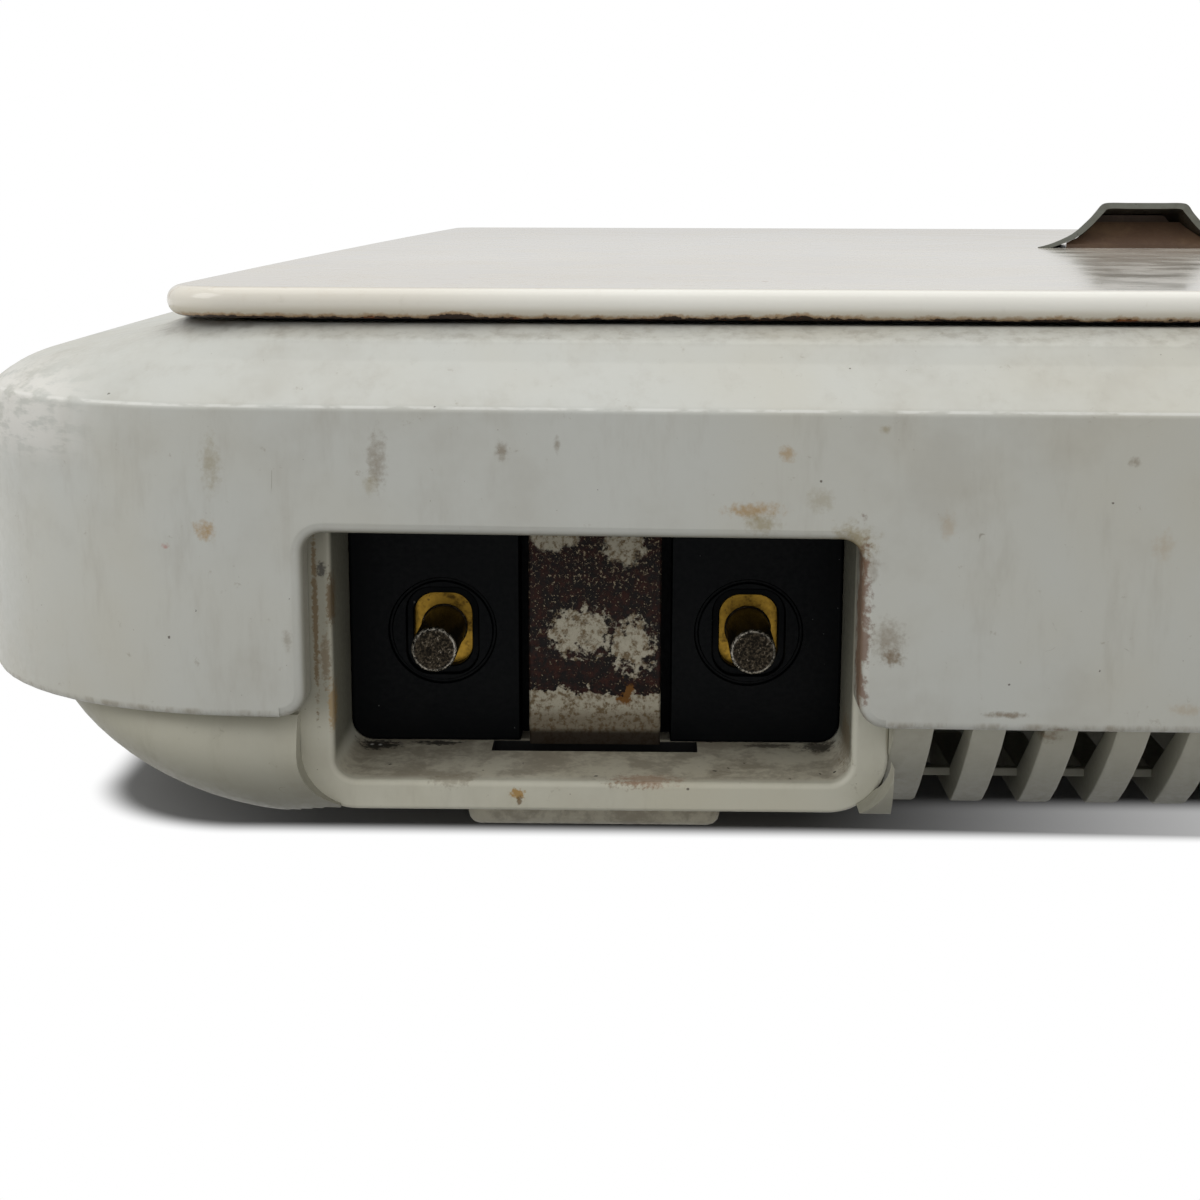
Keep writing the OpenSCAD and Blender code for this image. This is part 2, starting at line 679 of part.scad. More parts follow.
// The sheathed element, as one loop with both ends at the inlet end
module heater_path(r) {
  module straight(a, b) {
    d = b - a;
    translate(a) rotate([0, 90, atan2(d[1], d[0])]) cylinder(r = r, h = norm(d), $fn = 24);
  }
  module bend(x, y, from) {
    translate([x, y, heater_z]) rotate([0, 0, from]) rotate_extrude(angle = 90, $fn = 64)
      translate([heater_bend, 0]) circle(r, $fn = 24);
  }
  far = heater_y;
  near = -heater_y;
  for (s = [-1, 1]) {
    straight([s * heater_x, near + heater_bend, heater_z], [s * heater_x, far - heater_bend, heater_z]);
    straight([s * heater_entry, heater_end_y, heater_z], [s * heater_entry, near - heater_bend, heater_z]);
  }
  straight([-heater_x + heater_bend, far, heater_z], [heater_x - heater_bend, far, heater_z]);
  bend(heater_x - heater_bend, far - heater_bend, 0);
  bend(-heater_x + heater_bend, far - heater_bend, 90);
  bend(heater_x - heater_bend, near + heater_bend, 270);
  bend(-heater_x + heater_bend, near + heater_bend, 180);
  straight([heater_entry + heater_bend, near, heater_z], [heater_x - heater_bend, near, heater_z]);
  straight([-heater_x + heater_bend, near, heater_z], [-heater_entry - heater_bend, near, heater_z]);
  bend(heater_entry + heater_bend, near - heater_bend, 90);
  bend(-heater_entry - heater_bend, near - heater_bend, 0);
}

module heater_element() {
  color("#55585c") at_middle() heater_path(heater_r);
}

clip_places = [[-heater_x, -40], [heater_x, -40], [-heater_x, 50], [heater_x, 50]];

module heater_clips() {
  color(colour_steel) at_middle() for (p = clip_places) difference() {
    translate([p[0] - 6, p[1] - 4, reflector_z + 1]) cube([12, 8, heater_z - reflector_z - 1]);
    translate([p[0], p[1] - 5, heater_z]) rotate([-90, 0, 0]) cylinder(r = heater_r + 0.02, h = 10, $fn = 48);
  }
}

pan_front = heater_end_y + 6;
tag_half = 3.1;

module heater_bushes() {
  color("#e8e4da") at_middle() for (s = [-1, 1]) difference() {
    union() {
      bar_y(s * heater_entry, heater_z, pan_front - 3, pan_front + 3.8, bush_r);
      bar_y(s * heater_entry, heater_z, pan_front - 3, pan_front, bush_flange_r);
    }
    bar_y(s * heater_entry, heater_z, pan_front - 4, pan_front + 5, heater_r + 0.02);
  }
}

module heater_terminals() {
  color(colour_steel) at_middle() for (s = [-1, 1]) {
    bar_y(s * heater_entry, heater_z, heater_end_y - 8, heater_end_y, 1.5);
    translate([s * heater_entry, heater_end_y, heater_z]) block([-tag_half, -14, -0.4], [tag_half, -6, 0.4]);
  }
}

// Bright pan under the heater that throws its heat up
module reflector_pan() {
  w = 2 * heater_x + 28;
  l_back = heater_y + 14;
  mid = (l_back + pan_front) / 2;
  l = l_back - pan_front;
  top = heater_z + 2;
  color(colour_alu) at_middle() difference() {
    translate([0, mid, 0]) difference() {
      union() {
        slab(w, l, 10, reflector_z, top);
        slab(w + 12, l, 10, top - 1, top);
      }
      slab(w - 2, l - 2, 9, reflector_z + 1, top + 1);
    }
    // Slots that the bushes drop into
    for (s = [-1, 1]) {
      x = s * heater_entry;
      bar_y(x, heater_z, pan_front - 2, pan_front + 3, bush_r + 0.05);
      block([x - bush_r - 0.05, pan_front - 2, heater_z], [x + bush_r + 0.05, pan_front + 2, top + 1]);
    }
    for (x = [-1, 1]) for (y = [-1, 1])
      translate([x * post_x, y * post_y, reflector_z - 1]) cylinder(r = 1.6, h = 3, $fn = 32);
    translate([sensor_x, sensor_y, reflector_z - 1]) cylinder(r = sleeve_r + 0.05, h = 3, $fn = 40);
  }
}

module reflector_screws() {
  color(colour_steel) at_middle() for (x = [-1, 1]) for (y = [-1, 1])
    translate([x * post_x, y * post_y, reflector_z + 1]) screw(3, 1.8, 1.28, 9);
}

// --- Inlet ------------------------------------------------------------------------------------

block_back = bezel_back;
plate_y = block_y + 2.2;
strip_w = 13.7;
strip_slot = 15.8;
block_top = recess_top + 0.45;
block_bottom = recess_floor_back + 0.05;
pin_tip_y = bezel_y + 3.5;
rivet_r = 1.7;
window_w = 7.5;
window_h = 9.2;
window_step = 0.7;

// One round-cornered upright hole along Y
module window(x, z, w, h, r, y0, y1) {
  translate([x, y1, z]) rotate([90, 0, 0]) linear_extrude(y1 - y0) round_rect(w, h, r);
}

module inlet_block() {
  left = recess_left + 0.05;
  right = recess_right - 0.05;
  color(colour_black) at_middle() difference() {
    union() {
      block([left, block_y, block_bottom + 2.2], [right, block_back, block_top]);
      block([left + 2.2, block_y, block_bottom], [right - 2.2, block_back, block_top]);
      block([recess_left - screw_pad, block_back, pin_z - 5],
        [recess_right + screw_pad, block_back + 4, pin_z + 5]);
      block([left, block_back, block_bottom], [right, block_back + 4, block_top]);
    }
    // Channel for the keeper strip
    block([inlet_x - strip_slot / 2, block_y - 1, 0], [inlet_x + strip_slot / 2, block_y + 4, 50]);
    for (s = [-1, 1]) {
      x = inlet_x + s * pin_pitch / 2;
      // Round groove, window and pocket for the brass plate
      difference() {
        bar_y(x, pin_z, block_y - 1, block_y + 0.5, 5.65);
        bar_y(x, pin_z, block_y - 2, block_y + 1, 5.25);
      }
      window(x, pin_z, window_w, window_h, 2.4, block_y - 1, block_y + window_step);
      window(x, pin_z, window_w - 1.3, window_h - 1.3, 2.1, block_y, plate_y + 1);
      block([x - 6, plate_y, pin_z - 6.5], [x + 6, block_back + 5, pin_z + 6.5]);
      bar_y(inlet_x + s * block_screw_x, pin_z, block_back - 1, block_back + 5, 1.6);
    }
  }
}

// Brass plate behind each window, with the tag that its lead is crimped to
module terminal_plate(s) {
  x = inlet_x + s * pin_pitch / 2;
  color(colour_brass) at_middle() difference() {
    union() {
      block([x - 5.9, plate_y + 0.05, pin_z - 6.4], [x + 5.9, plate_y + 1.4, pin_z + 6.4]);
      block([x - 3.1, plate_y + 1, pin_z - 1], [x + 3.1, block_back + 10, pin_z - 0.2]);
    }
    bar_y(x, pin_z, plate_y - 1, plate_y + 2, rivet_r);
  }
}

module terminal_plate_left() {
  terminal_plate(-1);
}

module terminal_plate_right() {
  terminal_plate(1);
}

// Pin with a bevelled tip, its shoulder on the brass plate and its rear riveted through it
module pin(s) {
  bevel = 0.35;
  length = plate_y + 0.05 - pin_tip_y;
  color(colour_steel) at_middle() translate([inlet_x + s * pin_pitch / 2, pin_tip_y, pin_z]) rotate([-90, 0, 0]) {
    cylinder(r1 = pin_d / 2 - bevel, r2 = pin_d / 2, h = bevel, $fn = 48);
    translate([0, 0, bevel]) cylinder(r = pin_d / 2, h = length - bevel, $fn = 48);
    cylinder(r = rivet_r, h = length + 1.35, $fn = 48);
  }
}

module pin_left() {
  pin(-1);
}

module pin_right() {
  pin(1);
}

// Iron strip that the plug's magnet holds, bowed outwards between its ends
module keeper_strip() {
  bow = 60;
  sheet = 1.4;
  y = block_y - 2.6;
  z0 = recess_floor_back + 0.1;
  z1 = recess_top + 0.2;
  mid = (z0 + z1) / 2;
  color("#8a7f76") at_middle() union() {
    intersection() {
      difference() {
        translate([inlet_x - strip_w / 2, y + bow, mid])
          rotate([0, 90, 0]) cylinder(r = bow, h = strip_w, $fn = 180);
        translate([inlet_x - strip_w, y + bow, mid])
          rotate([0, 90, 0]) cylinder(r = bow - sheet, h = 2 * strip_w, $fn = 180);
      }
      block([inlet_x - strip_w / 2, y - 1, z0], [inlet_x + strip_w / 2, y + 6, z1]);
    }
    for (z = [z0 + 2, z1 - 2 - sheet])
      block([inlet_x - strip_w / 2, y + 1, z], [inlet_x + strip_w / 2, block_y + 4, z + sheet]);
  }
}

module inlet_screws() {
  color(colour_steel) at_middle() for (s = [-1, 1])
    translate([inlet_x + s * block_screw_x, block_back + 4, pin_z]) rotate([-90, 0, 0]) screw(3, 1.8, 1.23, 11);
}

// --- Thermostat and control --------------------------------------------------------------------

stat_y = front_y + 26;

module thermostat_bracket() {
  color(colour_steel) at_middle() difference() {
    union() {
      block([knob_x - 14, stat_y - 1.2, hull_bottom + wall], [knob_x + 14, stat_y, shaft_z + 6.5]);
      block([knob_x - 14, stat_y - 1.2, hull_bottom + wall],
        [knob_x + 14, stat_y + 14, hull_bottom + wall + 1.2]);
    }
    bar_y(knob_x, shaft_z, stat_y - 3, stat_y + 3, shaft_r + 0.05);
  }
}

module thermostat_body() {
  color("#e6e1d6") at_middle() union() {
    bar_y(knob_x, shaft_z, stat_y + 1, stat_y + 9, 6);
    block([knob_x - 12, stat_y, shaft_z - 15], [knob_x + 12, stat_y + 1, shaft_z + 4]);
    block([knob_x - 12, stat_y + 1, shaft_z - 15], [knob_x + 12, stat_y + 11, shaft_z - 8]);
    block([knob_x - 10, stat_y + 11, shaft_z - 13], [knob_x - 4, stat_y + 18, shaft_z - 12.2]);
    block([knob_x + 4, stat_y + 11, shaft_z - 13], [knob_x + 10, stat_y + 18, shaft_z - 12.2]);
  }
}

knob_back = knob_front + knob_len;

module thermostat_shaft() {
  color(colour_steel) at_middle() bar_y(knob_x, shaft_z, knob_front + 4, stat_y - 0.05, shaft_r);
}

module dial_plate() {
  color(colour_alu) at_middle() difference() {
    bar_y(knob_x, shaft_z, pad_y - dial_t, pad_y, dial_r - 0.2);
    bar_y(knob_x, shaft_z, pad_y - 2, pad_y + 1, shaft_r + 0.6);
  }
}

knob_r = knob_d / 2 - 1.2;

module control_knob() {
  color(colour_black) at_middle() difference() {
    union() {
      bar_y(knob_x, shaft_z, knob_back - 3, knob_back, knob_r);
      bar_y(knob_x, shaft_z, knob_front, knob_back - 2, knob_r - 1.6);
    }
    bar_y(knob_x, shaft_z, knob_front + 4 - 0.01, knob_back + 1, shaft_r + 0.02);
    for (a = [0:20:340]) let (r = knob_r - 1.3)
      bar_y(knob_x + r * cos(a), shaft_z + r * sin(a), knob_front - 1, knob_back - 3, 0.7);
    block([knob_x - 0.6, knob_front - 1, shaft_z + 1], [knob_x + 0.6, knob_front + 0.8, shaft_z + 6]);
  }
}

module knob_pointer() {
  color("white") at_middle()
    block([knob_x - 0.55, knob_front, shaft_z + 1.05], [knob_x + 0.55, knob_front + 0.8, shaft_z + 5.95]);
}

sensor_x = 0;
sensor_y = 20;
sleeve_r = 7;
plunger_r = 5;
plunger_stem = 3;
plunger_top = plate_bottom - 0.3;
sleeve_z = 16;
guide_z = 31;

// Cup, clamped in the reflector, that guides the sprung sensor
module sensor_sleeve() {
  color(colour_alu) at_middle() translate([sensor_x, sensor_y, 0]) difference() {
    union() {
      translate([0, 0, sleeve_z]) cylinder(r = sleeve_r, h = guide_z - sleeve_z, $fn = 48);
      translate([0, 0, reflector_z + 1]) cylinder(r = sleeve_r + 2.5, h = 1, $fn = 48);
    }
    translate([0, 0, sleeve_z + 1.5]) cylinder(r = plunger_r + 0.08, h = 40, $fn = 48);
    translate([0, 0, sleeve_z - 1]) cylinder(r = plunger_stem + 0.08, h = 40, $fn = 48);
  }
}

module sensor_plunger() {
  color(colour_alu) at_middle() translate([sensor_x, sensor_y, 0]) {
    translate([0, 0, guide_z - 5]) cylinder(r = plunger_r, h = plunger_top - guide_z + 5, $fn = 48);
    translate([0, 0, sleeve_z - 1]) cylinder(r = plunger_stem, h = guide_z - sleeve_z - 3.9, $fn = 48);
  }
}

// Coil spring that lifts the sensor, as a stack of rings joined by their faces
module sensor_spring() {
  wire = 0.7;
  z0 = sleeve_z + 1.5;
  z1 = guide_z - 5;
  turns = 5;
  gap = (z1 - z0 - 2 * wire) / turns;
  color(colour_steel) at_middle() translate([sensor_x, sensor_y, 0]) for (i = [0:turns])
    translate([0, 0, z0 + wire + i * gap]) rotate_extrude($fn = 48) translate([4.05, 0]) circle(wire, $fn = 16);
}

fuse_x = -55;
fuse_y = heater_end_y + 22;

module thermal_fuse() {
  color("#b98e3c") at_middle() translate([fuse_x, fuse_y, reflector_z + 3.2]) rotate([0, 90, 0]) {
    cylinder(r = 2, h = 11, center = true, $fn = 32);
    cylinder(r = 0.5, h = 22, center = true, $fn = 24);
  }
}

module fuse_clip() {
  color(colour_steel) at_middle() difference() {
    translate([fuse_x - 3, fuse_y - 3.4, reflector_z + 1]) cube([6, 6.8, 3.4]);
    translate([fuse_x - 4, fuse_y, reflector_z + 3.2]) rotate([0, 90, 0]) cylinder(r = 2.02, h = 8, $fn = 48);
    translate([fuse_x - 4, fuse_y - 1.6, reflector_z + 3.2]) cube([8, 3.2, 3]);
  }
}

lens_front = front_y - 0.3;

module lamp_lens() {
  color("#c8281e") at_middle() difference() {
    union() {
      bar_y(lamp_x, lamp_z, lens_front, front_y + 8, lens_r);
      bar_y(lamp_x, lamp_z, front_y + 6, front_y + 8, lens_r + 1.4);
    }
    bar_y(lamp_x, lamp_z, front_y + 3, front_y + 9, lens_r - 1);
  }
}

module lamp_holder() {
  color(colour_black) at_middle() difference() {
    bar_y(lamp_x, lamp_z, front_y + 8, front_y + 20, lens_r + 1.4);
    bar_y(lamp_x, lamp_z, front_y + 7, front_y + 16, lens_r - 1);
  }
}

module neon_lamp() {
  color("#e07a3a") at_middle() bar_y(lamp_x, lamp_z, front_y + 5, front_y + 16, 2);
}

// --- Leads inside the body ---------------------------------------------------------------------

lead_r = 1.3;
lamp_lead_r = 0.9;
tag_left = [inlet_x - pin_pitch / 2, block_back + 10, pin_z - 0.6];
tag_right = [inlet_x + pin_pitch / 2, block_back + 10, pin_z - 0.6];
stat_tag_left = [knob_x - 7, stat_y + 18, shaft_z - 12.6];
stat_tag_right = [knob_x + 7, stat_y + 18, shaft_z - 12.6];
heater_tag_left = [-heater_entry, heater_end_y - 14, heater_z];
heater_tag_right = [heater_entry, heater_end_y - 14, heater_z];
// A lead leaves its tag towards the rear or the front, square to it
REAR = [0, 2, 0];
FRONT = [0, -2, 0];

// A route between two tags, with a straight stub at each end
function lead(start, out, p, end, back) = concat(
    [start],
    soft(concat([start + out], p, [end + back])),
    [end]
  );

// Live: from the left plate, along the floor, to the thermostat
module lead_live() {
  floor = hull_bottom + wall + lead_r + 0.5;
  y = front_y + 55.5;
  color("#8c3b2e") at_middle() tube(lead(tag_left, REAR, [
    [tag_left[0] + 3, y - 6, 15], [tag_left[0] + 16, y - 2, floor], [-2 * heater_entry, y, floor], [0, y + 2, floor],
    [stat_tag_left[0] - 27, y - 3, floor], [stat_tag_left[0] - 7, y - 4, floor + 0.5], [stat_tag_left[0], y - 5, 13]
  ], stat_tag_left, REAR), lead_r);
}

// Neutral: from the right plate to the nearer end of the heater
module lead_neutral() {
  x = -heater_entry;
  y = front_y + 43.5;
  color("#e9e7df") at_middle() tube(lead(tag_right, REAR, [
    [tag_right[0] + 7, y + 3, 18], [x - 22, y, 15], [x - 14, y - 10, 16.5], [x - 8, y - 21, 22], [x - 2, y - 27.5, 29]
  ], heater_tag_left, FRONT), lead_r);
}

// From the thermostat to the other end of the heater
module lead_heater() {
  x = heater_entry;
  y = front_y + 56.5;
  color("#8c3b2e") at_middle() tube(lead(stat_tag_right, REAR, [
    [knob_x + 6, y - 4, 17.5], [knob_x - 1, y, 18.5], [knob_x - 14, y, 18.5], [x + 26, y - 6, 18.5],
    [x + 14, y - 19, 18.5], [x + 7, y - 33, 22], [x + 2, y - 40.5, 29]
  ], heater_tag_right, FRONT), lead_r);
}

// Pair from the pilot lamp to the sides of the heater's tags
module lamp_leads() {
  y = heater_end_y - 10;
  lamp_y = front_y + 20;
  SIDE = [3, 0, 0];
  color("#e9e7df") at_middle() {
    tube(lead([lamp_x - 1.8, lamp_y, lamp_z - 1], REAR, [[lamp_x - 3, lamp_y + 4.5, lamp_z]],
      [heater_entry + tag_half, y, heater_z], SIDE), lamp_lead_r);
    tube(lead([lamp_x + 1.8, lamp_y, lamp_z - 1], REAR, [
      [lamp_x, lamp_y + 8.5, 25], [heater_entry, lamp_y + 13.5, 22], [0, lamp_y + 13.5, 20],
      [12 - heater_entry, lamp_y + 10.5, 25]
    ], [-heater_entry + tag_half, y, heater_z], SIDE), lamp_lead_r);
  }
}

upper_housing();
lower_housing();
rubber_feet();
housing_screws();
lid();
lid_skirt();
skirt_flange();
lid_pull();
pull_core();
pull_screws();
pull_washers();
cooking_plate();
plate_rim();
heater_element();
heater_clips();
heater_bushes();
heater_terminals();
reflector_pan();
reflector_screws();
inlet_block();
terminal_plate_left();
terminal_plate_right();
pin_left();
pin_right();
keeper_strip();
inlet_screws();
thermostat_bracket();
thermostat_body();
thermostat_shaft();
dial_plate();
control_knob();
knob_pointer();
sensor_sleeve();
sensor_plunger();
sensor_spring();
thermal_fuse();
fuse_clip();
lamp_lens();
lamp_holder();
neon_lamp();
lead_live();
lead_neutral();
lead_heater();
lamp_leads();
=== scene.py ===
import json
import math

import bmesh
import bpy
from mathutils import Matrix, Vector


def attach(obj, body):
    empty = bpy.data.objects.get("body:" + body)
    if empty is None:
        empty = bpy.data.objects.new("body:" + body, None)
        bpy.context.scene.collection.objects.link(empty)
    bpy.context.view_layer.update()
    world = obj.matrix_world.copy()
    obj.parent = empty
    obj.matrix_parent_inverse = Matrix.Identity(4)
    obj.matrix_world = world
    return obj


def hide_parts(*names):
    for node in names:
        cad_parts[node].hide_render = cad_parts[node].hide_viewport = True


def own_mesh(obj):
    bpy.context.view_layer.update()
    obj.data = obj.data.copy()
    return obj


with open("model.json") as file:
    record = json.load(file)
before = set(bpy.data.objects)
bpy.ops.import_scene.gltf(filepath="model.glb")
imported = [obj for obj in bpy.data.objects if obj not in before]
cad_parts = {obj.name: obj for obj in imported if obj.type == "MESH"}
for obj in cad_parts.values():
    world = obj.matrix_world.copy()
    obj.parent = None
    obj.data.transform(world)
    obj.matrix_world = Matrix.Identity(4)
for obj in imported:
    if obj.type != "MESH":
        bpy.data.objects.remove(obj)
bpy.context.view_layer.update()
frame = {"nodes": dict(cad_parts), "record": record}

# Sizes are in millimetres, as seen from the middle of the housings. The control knob stands
# out from the inlet end, so the whole griddle's middle lies this far from theirs.
MM = 0.001
HOUSING_Y = 6.15

HALF_W = 159.2
HALF_L = 175.5
SIDE_BOW = 2.1
END_BOW = 3.4
CORNER = 34
SPLIT_Z = 16.5
SHOULDER_Z = 43.5
WALL = 2.5
FRONT_Y = -HALF_L

INLET_X = -89.95
RECESS_LEFT = INLET_X - 25.75
RECESS_RIGHT = INLET_X + 25.75
RECESS_TOP = 34.8
BEZEL_Y = FRONT_Y + 6.8
BEZEL_BACK = BEZEL_Y + 24
BLOCK_Y = BEZEL_Y + 12.5
STRIP_Y = BLOCK_Y - 2.6
PLATE_Y = BLOCK_Y + 2.2
PIN_Z = 21.8
PIN_HALF_SPAN = 16
PIN_TIP_Y = BEZEL_Y + 3.5
FRAME_LEFT = RECESS_LEFT - 3.6
FRAME_RIGHT = RECESS_RIGHT + 3.6
FRAME_BOTTOM = 6.2
FRAME_R = 5.8
VENT_RIGHT = 1.6 - FRAME_RIGHT
FLOOR_FRONT_Z = 9.2
FLOOR_BACK_Z = 9.9

KNOB_X = 84
LAMP_X = 44
CONTROL_Z = 30
PAD_Y = FRONT_Y + 0.9
LID_TOP = 57.6
HULL_BOTTOM = 4.8
HULL_TOP = 22


# --- Making meshes --------------------------------------------------------------------------

def new_object(name, points, faces):
    mesh = bpy.data.meshes.new(name)
    mesh.from_pydata([(x * MM, (y + HOUSING_Y) * MM, z * MM) for x, y, z in points], [], faces)
    obj = bpy.data.objects.new(name, mesh)
    bpy.context.scene.collection.objects.link(obj)
    return obj


def tidy_mesh(obj):
    work = bmesh.new()
    work.from_mesh(obj.data)
    bmesh.ops.remove_doubles(work, verts=work.verts, dist=1e-7)
    bmesh.ops.recalc_face_normals(work, faces=work.faces)
    work.to_mesh(obj.data)
    work.free()
    obj.data.update()


def loft(name, rings, loop=False):
    """A closed skin through rings of points, capped at both ends or joined round to the first."""
    count = len(rings[0])
    points = [p for ring in rings for p in ring]
    faces = []
    for k in range(len(rings) if loop else len(rings) - 1):
        a, b = k * count, (k + 1) % len(rings) * count
        faces += [(a + i, a + (i + 1) % count, b + (i + 1) % count, b + i) for i in range(count)]
    if not loop:
        faces += [tuple(reversed(range(count))), tuple(range(len(points) - count, len(points)))]
    obj = new_object(name, points, faces)
    tidy_mesh(obj)
    return obj


def apply_modifiers(obj):
    bpy.context.view_layer.update()
    graph = bpy.context.evaluated_depsgraph_get()
    made = bpy.data.meshes.new_from_object(obj.evaluated_get(graph), depsgraph=graph)
    obj.modifiers.clear()
    obj.data = made
    return obj


def join_all(first, others):
    work = bmesh.new()
    for obj in [first] + others:
        work.from_mesh(obj.data)
    work.to_mesh(first.data)
    work.free()
    for obj in others:
        bpy.data.objects.remove(obj)
    return first


def combine(obj, tools, how):
    """Cut the tools from the object, or weld them to it."""
    for tool in tools:
        change = obj.modifiers.new("combine", "BOOLEAN")
        change.operation = how
        change.solver = "EXACT"
        change.object = tool
        apply_modifiers(obj)
        bpy.data.objects.remove(tool)
    tidy_mesh(obj)
    return obj


def round_edges(obj, width, angle=35, segments=3):
    bevel = obj.modifiers.new("round edges", "BEVEL")
    bevel.width = width * MM
    bevel.segments = segments
    bevel.limit_method = "ANGLE"
    bevel.angle_limit = math.radians(angle)
    bevel.miter_outer = "MITER_ARC"
    return apply_modifiers(obj)


def smooth(obj, angle=32):
    obj.data.shade_smooth()
    obj.data.set_sharp_from_angle(angle=math.radians(angle))
    even = obj.modifiers.new("even shading", "WEIGHTED_NORMAL")
    even.keep_sharp = True
    return apply_modifiers(obj)


def dress(obj, slot, node, body="root", finish=None):
    """Give a finished piece its material, and let it ride and stand for its CAD node."""
    obj.data.materials.clear()
    obj.data.materials.append(finish or FINISHES[slot])
    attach(obj, body)
    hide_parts(node)
    return obj


def arc(cx, cy, radius, start, end, steps):
    """Points of an arc, in degrees, both ends included."""
    turns = [math.radians(start + (end - start) * i / steps) for i in range(steps + 1)]
    return [(cx + radius * math.cos(a), cy + radius * math.sin(a)) for a in turns]


def rounding(radius, steps):
    """Steps round an outside edge, as [still to go across, gone in] pairs."""
    turns = [math.radians(90 * i / (steps - 1)) for i in range(steps)]
    return [(radius * (1 - math.sin(t)), radius * (1 - math.cos(t))) for t in turns]


def at_y(y, outline):
    """A flat ring at one place along the griddle, from [x, z] points."""
    return [(x, y, z) for x, z in outline]


def soften(steps, radii, count=5):
    """Round chosen corners of a path of number rows, each by its own radius."""
    made = []
    for i, here in enumerate(steps):
        radius = radii.get(i)
        if not radius:
            made.append(tuple(here))
            continue
        before, after = steps[i - 1], steps[(i + 1) % len(steps)]

        def towards(other):
            far = math.dist(here[:3], other[:3])
            part = min(0.5, radius / far)
            return [a + (b - a) * part for a, b in zip(here, other)]
        start, end = towards(before), towards(after)
        for k in range(count + 1):
            t = k / count
            made.append(tuple(a * (1 - t) ** 2 + 2 * b * t * (1 - t) + c * t * t
                              for a, b, c in zip(start, here, end)))
    return made


def plan(half_w, half_l, corner, side_bow, end_bow):
    """A plan outline: bowed sides, round corners and bowed ends, anticlockwise from above."""
    side_steps, corner_steps, end_steps = 16, 16, 26
    a = math.atan(2 * side_bow / (half_l - end_bow - corner))
    b = math.atan(2 * end_bow / (half_w - side_bow - corner))
    side_y = half_l - end_bow - corner * math.cos(b) + corner * math.sin(a)
    cx = half_w - side_bow - corner * math.cos(a)
    cy = side_y - corner * math.sin(a)
    end_x = cx + corner * math.sin(b)
    end_y = cy + corner * math.cos(b)
    quarter = [(half_w - side_bow * (i / side_steps) ** 2, side_y * i / side_steps)
               for i in range(side_steps)]
    quarter += arc(cx, cy, corner, math.degrees(a), 90 - math.degrees(b), corner_steps)
    quarter += [(end_x * (1 - i / end_steps), end_y + end_bow * (1 - (1 - i / end_steps) ** 2))
                for i in range(1, end_steps + 1)]
    far_left = [(-x, y) for x, y in reversed(quarter[:-1])]
    near_left = [(-x, -y) for x, y in quarter[1:]]
    near_right = [(x, -y) for x, y in reversed(quarter[1:-1])]
    return quarter + far_left + near_left + near_right


def body_ring(step, half_w=HALF_W, half_l=HALF_L, side_bow=SIDE_BOW, end_bow=END_BOW):
    """A ring from [inset from the end, inset from the side, height, corner, share of the bow]."""
    end, side, z, corner, bow = step
    outline = plan(half_w - side, half_l - end, corner, side_bow * bow, end_bow * bow)
    return [(x, y, z) for x, y in outline]


BOW_RATE = END_BOW / (HALF_W - SIDE_BOW - CORNER) ** 2


def end_fall(x):
    """How far the bowed end face lies behind its middle."""
    return END_BOW * (x / (HALF_W - SIDE_BOW - CORNER)) ** 2


def box(name, low, high):
    corners = [(x, y, z) for z in (low[2], high[2]) for y in (low[1], high[1]) for x in (low[0], high[0])]
    sides = [(0, 2, 3, 1), (4, 5, 7, 6), (0, 1, 5, 4), (2, 6, 7, 3), (0, 4, 6, 2), (1, 3, 7, 5)]
    return new_object(name, corners, sides)


def turned(name, x, z, profile, sides=64, along="y", y=0, cap=True):
    """A piece turned on a lathe from [place along its axis, radius] steps."""
    rings = []
    for place, radius in profile:
        ring = []
        for i in range(sides):
            a = 2 * math.pi * i / sides
            if along == "y":
                ring.append((x + radius * math.cos(a), place, z + radius * math.sin(a)))
            else:
                ring.append((x + radius * math.cos(a), y + radius * math.sin(a), place))
        rings.append(ring)
    return loft(name, rings, loop=not cap)


def upright(left, right, bottom, top, low_r, high_r, steps=8):
    """An upright rectangle of [x, z] points with its own low and high corner radii."""
    return (arc(right - low_r, bottom + low_r, low_r, -90, 0, steps)
            + arc(right - high_r, top - high_r, high_r, 0, 90, steps)
            + arc(left + high_r, top - high_r, high_r, 90, 180, steps)
            + arc(left + low_r, bottom + low_r, low_r, 180, 270, steps))


# --- Upper housing --------------------------------------------------------------------------

SHOULDER_R = 7.7
SHOULDER_TURN = 73
SHOULDER_END = SHOULDER_R * (1 - math.cos(math.radians(SHOULDER_TURN)))
SLOPE_Z = SHOULDER_Z + SHOULDER_R * math.sin(math.radians(SHOULDER_TURN))
EDGE_Z = 46.9
OPENING_LEFT = -117.8
OPENING_RIGHT = -64.3
LIP_R = 0.9
LENS_R = 4.05
SHAFT_HOLE_R = 3.6


def shoulder(turn, thick=0):
    """The sides turn over in an arc, and the ends in a straight slope above a crisp edge."""
    t = math.radians(turn)
    part = SHOULDER_R * (1 - math.cos(t)) / SHOULDER_END
    z = SHOULDER_Z + SHOULDER_R * math.sin(t)
    over, soft = z - EDGE_Z, 0.4
    rise = max(over, 0) if abs(over) > soft else (over + soft) ** 2 / (4 * soft)
    end = SHOULDER_END * rise / (SLOPE_Z - EDGE_Z)
    corner = max(CORNER - 10 * part - thick, 8)
    return (end + thick, 10.5 * part + thick, z - thick * math.sin(t), corner, 1)


